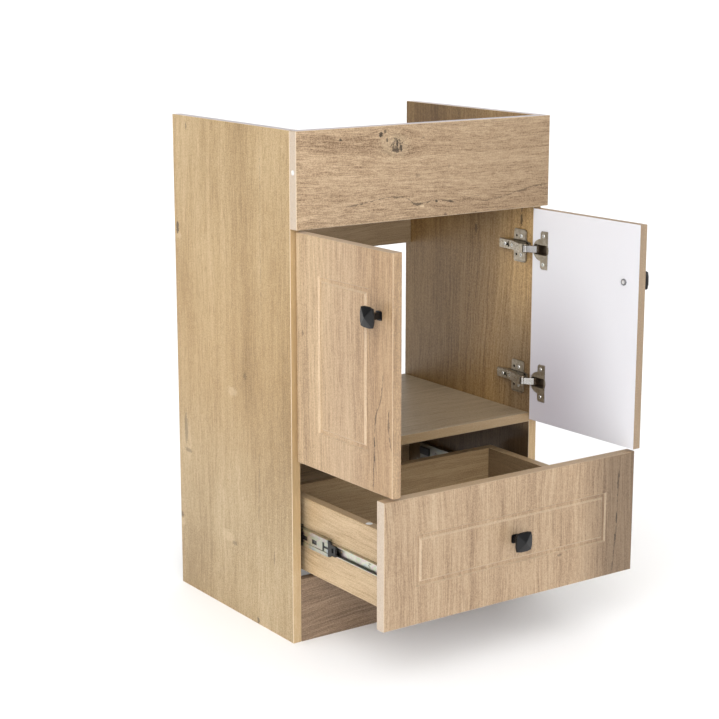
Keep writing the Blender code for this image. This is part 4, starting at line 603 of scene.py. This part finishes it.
LOOKS = {
    "left_side_panel": oak(
        "oak_side_left", YXZ, 1, SIDE_TONES, contrast=1.1, knots=SIDE_KNOTS, marks=SIDE_MARKS,
        pale=SIDE_PALE, cracks=SIDE_CRACKS, painted_shading=SIDE_PAINTED_SHADING, edges=PANEL_EDGES, arris_highlight=PANEL_ARRIS_HIGHLIGHT,
        inner=(1.0, side_inside), dash=16.0, fleck=1.1, cloudy=2.1, fine=0.75),
    "right_side_panel": oak(
        "oak_side_right", YXZ, 2, SIDE_TONES, contrast=1.5, knots=RIGHT_KNOTS, marks=RIGHT_MARKS,
        edges=PANEL_EDGES, arris_highlight=PANEL_ARRIS_HIGHLIGHT, inner=(-1.0, right_inside)),
    "fascia_panel": oak(
        "oak_fascia", ZYX, 3, FASCIA_TONES, contrast=1.2, knots=FASCIA_KNOTS, marks=FASCIA_MARKS,
        pale=FASCIA_PALE, cracks=FASCIA_CRACKS, painted_shading=FASCIA_PAINTED_SHADE, edges=FASCIA_EDGES,
        arris_highlight=PANEL_ARRIS_HIGHLIGHT, dash=22.0, fleck=0.9),
    "left_door_panel": oak(
        "oak_left_door", XYZ, 4, FRONT_TONES, contrast=1.1, knots=LEFT_DOOR_KNOTS, marks=LEFT_DOOR_MARKS,
        cracks=LEFT_DOOR_CRACKS, painted_shading=LEFT_DOOR_PAINTED_SHADING, edges=LEFT_DOOR_EDGES, arris_highlight=DOOR_ARRIS_HIGHLIGHT,
        inside=white_inside, pivot=LEFT_HINGE[0], turn=LEFT_HINGE[1], fleck=0.8),
    "right_door_panel": oak(
        "oak_right_door", XYZ, 5, FRONT_TONES, contrast=1.1, edges=RIGHT_DOOR_EDGES, arris_highlight=DOOR_ARRIS_HIGHLIGHT,
        inside=white_inside, pivot=RIGHT_HINGE[0], turn=RIGHT_HINGE[1], fleck=0.8),
    "drawer_front": oak(
        "oak_drawer_front", XYZ, 6, DRAWER_FRONT_SHADED_TONES, contrast=1.1, marks=DRAWER_MARKS,
        cracks=DRAWER_CRACKS, painted_shading=DRAWER_PAINTED_SHADE, edges=DRAWER_FRONT_EDGES, arris_highlight=DRAWER_ARRIS_HIGHLIGHT,
        fleck=0.8),
    "shelf_panel": oak("oak_shelf", YZX, 7, SHELF_TONES, edges=SHELF_EDGES),
    "upper_back_rail": oak("oak_back_rail", ZYX, 8, RAIL_TONES),
    "lower_back_rail": oak("oak_low_back_rail", ZYX, 13, LOW_RAIL_TONES),
    "plinth_panel": oak("oak_plinth", ZYX, 9, PLINTH_TONES, contrast=1.2),
    # The drawer sides' inner faces carry painted shade, darker on the right side.
    "drawer_left_side": oak(
        "oak_drawer_left", ZXY, 10, DRAWER_TONES, inner=(1.0, DRAWER_LEFT_INNER_SHADE), edges=DRAWER_EDGES),
    "drawer_right_side": oak(
        "oak_drawer_right", ZXY, 11, DRAWER_TONES, inner=(-1.0, DRAWER_RIGHT_INNER_SHADE), edges=DRAWER_EDGES),
    "drawer_back": oak("oak_drawer_back", ZYX, 12, DRAWER_BACK_TONES, edges=DRAWER_EDGES),
}

# Small parts. Scales are in features per metre. A gloss is (share of the noise, least roughness), or the
# share alone, and a bump is (strength, distance in metres). A reach is how far a crevice is looked for, and
# a crevice is its painted shade: (openness where it is darkest, openness where it ends, darkness there,
# darkness here).
MELAMINE_TONES = (srgb(232, 230, 232), srgb(200, 196, 198))
MELAMINE_CLOUD = (6.0, 6.0, 6.0)
MELAMINE_CLOUDING = 0.2
MELAMINE_PEEL = (800.0, 800.0, 800.0)
MELAMINE_GLOSS = (0.15, 0.3)
MELAMINE_BUMP = (0.15, 0.0002)
PLASTIC_DRIFT = (60.0, 60.0, 60.0)
PLASTIC_DRIFTING = 0.5
PLASTIC_GLOSS = 0.2
PLASTIC_BUMP = (0.2, 0.0002)
CLOUD_RIM = (0.35, 0.65)
METAL_CLOUD = (90.0, 90.0, 90.0)
METAL_GLOSS = 0.22
METAL_BUMP = (0.12, 0.0001)
NICKEL_TONES = (srgb(190, 180, 163), srgb(166, 155, 137))
NICKEL_DRAWN = (420.0, 60.0, 420.0)
NICKEL_CLOUD = (160.0, 160.0, 160.0)
NICKEL_GLOSS = 0.18
NICKEL_BUMP = (0.12, 0.0001)
NICKEL_METALLIC = 0.85
NICKEL_REACH = 0.004
NICKEL_CREVICE = (0.35, 0.85, 0.92, 0.0)
HEAD_RIM = 1.1
PIN_RIM = 1.3
# Painted shade in the hinge cups' recess: cover and tone.
RECESS_COVER = 0.9
RECESS_SHADE = srgb(84, 70, 56)
SCREW_TONE = srgb(236, 236, 232)
BRASS_TONE = srgb(255, 204, 104)
# Painted reflection on the knob screws' heads: a bright crown, a dark ring and a dull flange.
SCREW_CROWN_HIGHLIGHT = srgb(246, 246, 246)
SCREW_RING_REFLECTION = srgb(108, 108, 112)
SCREW_FLANGE = srgb(160, 160, 164)
KNOB_SCREW_RADIUS = 0.0057
KNOB_SCREW_REFLECTION = ((0.0, SCREW_CROWN_HIGHLIGHT), (0.48, SCREW_CROWN_HIGHLIGHT), (0.62, SCREW_RING_REFLECTION), (0.82, SCREW_RING_REFLECTION),
                    (0.95, SCREW_FLANGE))
KNOB_SCREW_GRAIN = (700.0, 700.0, 700.0)
KNOB_SCREW_GLOSS = (0.15, 0.3)
KNOB_SCREW_BUMP = (0.1, 0.0001)
KNOB_SCREW_METALLIC = 0.3
ZINC_FILM_TONES = ((0.30, srgb(190, 202, 214)), (0.42, srgb(212, 216, 198)), (0.50, srgb(220, 222, 204)),
                   (0.58, srgb(218, 202, 206)), (0.70, srgb(204, 214, 188)))
ZINC_DRAWN = (500.0, 14.0, 500.0)
ZINC_FILM = (70.0, 45.0, 70.0)
ZINC_SWIRL = 0.6
ZINC_GLOSS = (0.2, 0.24)
ZINC_BUMP = (0.1, 0.0001)
ZINC_REACH = 0.012
ZINC_CREVICE = (0.25, 0.80, 0.9, 0.0)
LACQUER_TONES = (srgb(8, 8, 9), srgb(16, 16, 18))
LACQUER_GRAIN = (1400.0, 1400.0, 1400.0)
LACQUER_DRIFT = (80.0, 80.0, 80.0)
LACQUER_GLOSS = (0.16, 0.26)
LACQUER_BUMP = (0.12, 0.0001)
LACQUER_SPECULAR = 0.38


def white_board():
    """White melamine of the drawer bottom: faint clouding and orange peel."""
    graph = Graph("white_melamine")
    place = graph.coordinates.outputs["Object"]
    cloud = graph.noise(place, MELAMINE_CLOUD)
    peel = graph.noise(place, MELAMINE_PEEL, detail=1.0)
    colour = graph.mix(graph.math("MULTIPLY", cloud, MELAMINE_CLOUDING), *MELAMINE_TONES)
    roughness = graph.math("MULTIPLY_ADD", peel, *MELAMINE_GLOSS)
    return graph.finish(colour, roughness, graph.bump(peel, *MELAMINE_BUMP))


def plastic(name, base, dark, gloss, grain):
    """Moulded plastic with a faint spark-eroded grain and tonal drift."""
    graph = Graph(name)
    place = graph.coordinates.outputs["Object"]
    fine = graph.noise(place, (grain, grain, grain), roughness=0.6)
    drift = graph.noise(place, PLASTIC_DRIFT)
    colour = graph.mix(graph.math("MULTIPLY", drift, PLASTIC_DRIFTING), base, dark)
    roughness = graph.math("MULTIPLY_ADD", fine, PLASTIC_GLOSS, gloss)
    return graph.finish(colour, roughness, graph.bump(fine, *PLASTIC_BUMP))


def metal(name, base, tint, gloss, streak):
    """Plated or drawn steel: streaks of the drawing direction, cloudy tint, finger-worn gloss."""
    graph = Graph(name)
    place = graph.coordinates.outputs["Object"]
    drawn = graph.noise(place, streak, detail=3.0, roughness=0.6)
    cloud = graph.noise(place, METAL_CLOUD, detail=3.0, roughness=0.55)
    colour = graph.mix(graph.spread(cloud, *CLOUD_RIM), base, tint)
    roughness = graph.math("MULTIPLY_ADD", drawn, METAL_GLOSS, gloss)
    return graph.finish(colour, roughness, graph.bump(drawn, *METAL_BUMP), Metallic=1.0)


def crevices(graph, reach):
    """How open the surface is, from 0 in a narrow recess to 1."""
    node = graph.add("ShaderNodeAmbientOcclusion", samples=8)
    node.inputs["Distance"].default_value = reach
    return node.outputs["AO"]


def fitting(name, gloss, heads, cup=None):
    """Nickel-plated pressing with painted shade in its crevices and in a cup's recess, and bright zinc screw
    heads.
    Heads are (Y or X, rise, radius); a cup is given by its door's hinge line and turn."""
    graph = Graph(name)
    (x, y, z), _ = board_space(graph, XYZ, *(cup or (None, 0.0)))
    place = graph.join(x, y, z)
    drawn = graph.noise(place, NICKEL_DRAWN, detail=3.0, roughness=0.6)
    cloud = graph.noise(place, NICKEL_CLOUD, detail=3.0, roughness=0.6)
    colour = graph.mix(graph.spread(cloud, *CLOUD_RIM), *NICKEL_TONES)
    rise = hinge_rise(graph, z)
    flat = graph.math("ABSOLUTE", x) if cup else y
    for head_flat, head_rise, radius in heads:
        near = from_point(graph, flat, rise, (head_flat, head_rise))
        colour = graph.mix(graph.spread(near, radius, radius * HEAD_RIM, 1.0, 0.0), colour, SCREW_TONE)
    # Painted shade in crevices, from the occlusion.
    crevice_shade = graph.spread(crevices(graph, NICKEL_REACH), *NICKEL_CREVICE)
    if cup:
        # Painted shade deep in the cup's recess.
        recess_shade_mask = graph.spread(y, CUP_DARK_Y, CUP_FACE_Y, 1.0, 0.0)
        crevice_shade = graph.math("MULTIPLY", crevice_shade, graph.math("SUBTRACT", 1.0, recess_shade_mask))
        colour = graph.mix(graph.math("MULTIPLY", recess_shade_mask, RECESS_COVER), colour, RECESS_SHADE)
        pin = from_point(graph, flat, y, (CUP_PIN_OUT, CUP_PIN_Y))
        on_pin = graph.spread(pin, CUP_PIN_RADIUS, CUP_PIN_RADIUS * PIN_RIM, 1.0, 0.0)
        colour = graph.mix(on_pin, colour, BRASS_TONE)
    colour = graph.mix(crevice_shade, colour, CREVICE_SHADE)
    roughness = graph.math("MULTIPLY_ADD", drawn, NICKEL_GLOSS, gloss)
    return graph.finish(colour, roughness, graph.bump(drawn, *NICKEL_BUMP), Metallic=NICKEL_METALLIC)


def knob_screw(name, node, pivot, turn):
    """Truss-head screw: a painted highlight on the crown, a painted dark reflection in the ring under it and
    a dull flange, round the screw's own axis.
    """
    graph = Graph(name)
    (x, y, z), _ = board_space(graph, XYZ, pivot, turn)
    corners = [Vector(corner) for corner in node.bound_box]
    middle = sum(corners, Vector()) / len(corners)
    hinge = Vector((*pivot, 0.0))
    closed = Matrix.Rotation(math.radians(turn), 3, "Z") @ (middle - hinge) + hinge
    away = from_point(graph, x, z, (closed.x, closed.z))
    fine = graph.noise(graph.join(x, y, z), KNOB_SCREW_GRAIN, roughness=0.6)
    colour = graph.ramp(graph.math("DIVIDE", away, KNOB_SCREW_RADIUS), KNOB_SCREW_REFLECTION)
    roughness = graph.math("MULTIPLY_ADD", fine, *KNOB_SCREW_GLOSS)
    bump = graph.bump(fine, *KNOB_SCREW_BUMP)
    return graph.finish(colour, roughness, bump, Metallic=KNOB_SCREW_METALLIC)


def zinc(name, shade):
    """Zinc plating with the faint rainbow of its passivation, darkened by painted shade from 0 to 1, with
    painted shade in its crevices.
    """
    graph = Graph(name)
    place = graph.coordinates.outputs["Object"]
    drawn = graph.noise(place, ZINC_DRAWN, detail=3.0, roughness=0.6)
    film = graph.noise(place, ZINC_FILM, distortion=ZINC_SWIRL)
    colour = graph.mix(shade, graph.ramp(film, ZINC_FILM_TONES), ZINC_SHADE)
    # Painted shade in crevices, from the occlusion.
    crevice_shade = graph.spread(crevices(graph, ZINC_REACH), *ZINC_CREVICE)
    colour = graph.mix(crevice_shade, colour, CREVICE_SHADE)
    roughness = graph.math("MULTIPLY_ADD", drawn, *ZINC_GLOSS)
    return graph.finish(colour, roughness, graph.bump(drawn, *ZINC_BUMP), Metallic=1.0)


def black_metal():
    """Satin black lacquer on cast zinc."""
    graph = Graph("black_lacquer")
    place = graph.coordinates.outputs["Object"]
    fine = graph.noise(place, LACQUER_GRAIN, roughness=0.6)
    drift = graph.noise(place, LACQUER_DRIFT)
    colour = graph.mix(drift, *LACQUER_TONES)
    roughness = graph.math("MULTIPLY_ADD", drift, *LACQUER_GLOSS)
    bump = graph.bump(fine, *LACQUER_BUMP)
    return graph.finish(colour, roughness, bump, Specular_IOR_Level=LACQUER_SPECULAR)


WHITE_BOARD = white_board()
WHITE_PLASTIC = plastic("white_plastic", srgb(248, 248, 247), srgb(230, 229, 227), gloss=0.30, grain=900.0)
BLACK_PLASTIC = plastic("black_plastic", srgb(26, 27, 29), srgb(40, 41, 43), gloss=0.38, grain=1200.0)
BLACK_METAL = black_metal()
WING_SCREWS = ((WING_SCREW_Y, WING_SCREW_RISE, HEAD_RADIUS),)
ARM_SCREWS = ((FIX_SCREW_Y, 0.0, HEAD_RADIUS), (ADJUST_SCREW_Y, 0.0, ADJUST_HEAD_RADIUS))
CUP_SCREWS = ((CUP_SCREW_OUT, CUP_SCREW_RISE, HEAD_RADIUS),)
PLATE_NICKEL = fitting("nickel_plate", gloss=0.22, heads=WING_SCREWS)
ARM_NICKEL = fitting("nickel_arm", gloss=0.20, heads=ARM_SCREWS)
for door, hinge in (("left", LEFT_HINGE), ("right", RIGHT_HINGE)):
    cup_look = fitting("nickel_cup_" + door, gloss=0.22, heads=CUP_SCREWS, cup=hinge)
    LOOKS[door + "_upper_hinge_cup"] = cup_look
    LOOKS[door + "_lower_hinge_cup"] = cup_look
    screw_name = door + "_door_knob_screw"
    LOOKS[screw_name] = knob_screw(screw_name + "_steel", NODES[screw_name], *hinge)
LINK_STEEL = metal("bright_link", srgb(232, 232, 230), srgb(214, 212, 208), gloss=0.12,
                   streak=(60.0, 420.0, 420.0))
# Ball cages in a dark steel, which keeps the windows of the rails dark.
CAGE_STEEL = metal("dark_cage_steel", srgb(96, 96, 98), srgb(72, 72, 74), gloss=0.30,
                   streak=(60.0, 420.0, 420.0))
BRASS = metal("brass_pin", srgb(214, 176, 104), srgb(186, 146, 84), gloss=0.20,
              streak=(300.0, 300.0, 40.0))
STEEL = metal("screw_steel", srgb(206, 206, 204), srgb(180, 180, 180), gloss=0.22,
              streak=(300.0, 300.0, 300.0))
# Copies of one zinc: the middle and outer rails carry painted shade.
ZINC = zinc("zinc_plating", shade=0.02)
SHADED_MIDDLE_ZINC = zinc("zinc_middle_shaded", shade=0.38)
SHADED_CHANNEL_ZINC = zinc("zinc_channel_shaded", shade=0.8)

# Looks of the pieces that LOOKS doesn't name, by the ending of their names.
BY_ENDING = (("hinge_plate", PLATE_NICKEL), ("hinge_arm", ARM_NICKEL), ("hinge_link", LINK_STEEL),
             ("hinge_pin", BRASS), ("door_knob", BLACK_METAL), ("drawer_knob", BLACK_METAL),
             ("knob_screw", STEEL), ("outer_rail", SHADED_CHANNEL_ZINC), ("middle_rail", SHADED_MIDDLE_ZINC),
             ("inner_rail", ZINC), ("ball_cage", CAGE_STEEL), ("bumper", BLACK_PLASTIC),
             ("rear_stop", BLACK_PLASTIC), ("cap", WHITE_PLASTIC), ("drawer_bottom", WHITE_BOARD))
for node_name, node in NODES.items():
    look = LOOKS.get(node_name)
    if look is None:
        look = next(material for ending, material in BY_ENDING if node_name.endswith(ending))
    if not node.material_slots:
        node.data.materials.append(look)
    for slot in node.material_slots:
        slot.material = look

# Studio: sizes in metres, the softbox wall's side and fade as shares of a direction, and light colours.
FLOOR_REACH = 70.0
FLOOR_TONES = (srgb(248, 248, 248), srgb(244, 244, 244))
FLOOR_DRIFT = (3.0, 3.0, 3.0)
BACKDROP_RADIUS = 35.0
BACKDROP_HEIGHT = 30.0
BACKDROP_FOOT = -0.1
BACKDROP_FACES = 96
BACKDROP_GLOW = 1.15
SOFTBOX_SIDE = (-0.62, -0.74, 0.25)
SOFTBOX_FADE = (-0.2, 0.9)
CAMERA_SIGHT = 200.0
WARM_LIGHT = (1.0, 0.985, 0.96)
COOL_LIGHT = (0.98, 0.98, 1.0)
WHITE_LIGHT = (1.0, 1.0, 1.0)


def make_surface(name, corners, faces, material):
    """An object of one mesh with one look."""
    mesh = bpy.data.meshes.new(name)
    mesh.from_pydata(corners, [], faces)
    mesh.materials.append(material)
    surface = bpy.data.objects.new(name, mesh)
    bpy.context.scene.collection.objects.link(surface)
    return surface


def make_floor():
    """A wide plain floor that runs on under the backdrop."""
    graph = Graph("studio_floor")
    drift = graph.noise(graph.coordinates.outputs["Object"], FLOOR_DRIFT)
    look = graph.finish(graph.mix(drift, *FLOOR_TONES), Roughness=0.9, Specular_IOR_Level=0.1)
    corners = [(FLOOR_REACH * x, FLOOR_REACH * y, 0.0) for x, y in ((-1, -1), (1, -1), (1, 1), (-1, 1))]
    floor = make_surface("studio_floor", corners, [(0, 1, 2, 3)], look)
    return floor


def make_backdrop():
    """A pale round wall far off, seen above the floor's edge and left out of the lighting."""
    look = Graph("studio_backdrop").finish(
        Roughness=1.0, Specular_IOR_Level=0.0, Base_Color=srgb(0, 0, 0),
        Emission_Color=srgb(255, 255, 255), Emission_Strength=BACKDROP_GLOW)
    turns = [2 * math.pi * step / BACKDROP_FACES for step in range(BACKDROP_FACES)]
    corners = [(BACKDROP_RADIUS * math.cos(turn), BACKDROP_RADIUS * math.sin(turn), height)
               for height in (BACKDROP_FOOT, BACKDROP_HEIGHT) for turn in turns]
    steps = [(step, (step + 1) % BACKDROP_FACES) for step in range(BACKDROP_FACES)]
    faces = [(after, step, step + BACKDROP_FACES, after + BACKDROP_FACES) for step, after in steps]
    backdrop = make_surface("studio_backdrop", corners, faces, look)
    backdrop.visible_diffuse = backdrop.visible_glossy = backdrop.visible_shadow = False


def make_sun(name, place, strength, angle, colour, only=None, shadows=True):
    """Soft light from one side, on everything or only on one stage object."""
    data = bpy.data.lights.new(name, "SUN")
    data.energy = strength
    data.angle = math.radians(angle)
    data.color = colour
    data.use_shadow = shadows
    light = bpy.data.objects.new(name, data)
    light.location = place
    light.rotation_euler = (-Vector(place)).to_track_quat("-Z", "Y").to_euler()
    bpy.context.scene.collection.objects.link(light)
    if only is not None:
        receivers = bpy.data.collections.new(name + "_receivers")
        receivers.objects.link(only)
        light.light_linking.receiver_collection = receivers


def make_world(near, far):
    """A soft surround, brightest at the camera's left like a wide softbox wall."""
    world = bpy.data.worlds.new("studio")
    world.use_nodes = True
    tree = world.node_tree
    background = tree.nodes["Background"]
    background.inputs["Color"].default_value = (1.0, 1.0, 1.0, 1.0)
    direction = tree.nodes.new("ShaderNodeTexCoord")
    toward = tree.nodes.new("ShaderNodeVectorMath")
    toward.operation = "DOT_PRODUCT"
    toward.inputs[1].default_value = Vector(SOFTBOX_SIDE).normalized()
    tree.links.new(direction.outputs["Generated"], toward.inputs[0])
    fade = tree.nodes.new("ShaderNodeMapRange")
    fade.interpolation_type = "SMOOTHSTEP"
    for key, value in zip(("From Min", "From Max", "To Min", "To Max"), (*SOFTBOX_FADE, far, near)):
        fade.inputs[key].default_value = value
    tree.links.new(toward.outputs["Value"], fade.inputs["Value"])
    tree.links.new(fade.outputs["Result"], background.inputs["Strength"])
    bpy.context.scene.world = world


def make_camera():
    """The photograph's camera, without lens shift."""
    data = bpy.data.cameras.new("camera")
    data.sensor_width = SENSOR
    data.lens = FOCAL_PIXELS * SENSOR / PICTURE
    data.clip_end = CAMERA_SIGHT
    camera = bpy.data.objects.new("camera", data)
    camera.location = CAMERA_PLACE
    camera.rotation_euler = (math.radians(90.0 - CAMERA_DOWN), 0.0, math.radians(-CAMERA_TURN))
    bpy.context.scene.collection.objects.link(camera)
    bpy.context.scene.camera = camera


studio_floor = make_floor()
make_backdrop()
make_world(near=0.55, far=0.08)
make_sun("key", (-2.3, -2.6, 1.7), strength=1.86, angle=50.0, colour=WARM_LIGHT)
make_sun("top_fill", (-0.3, -0.4, 4.0), strength=0.45, angle=90.0, colour=COOL_LIGHT)
make_sun("back_fill", (1.7, 2.6, 1.7), strength=0.5, angle=60.0, colour=WHITE_LIGHT)
make_sun("floor_fill", (-0.5, -0.5, 4.0), strength=1.85, angle=120.0, colour=WHITE_LIGHT,
         only=studio_floor, shadows=False)
make_camera()
bpy.context.scene.view_settings.view_transform = "Standard"
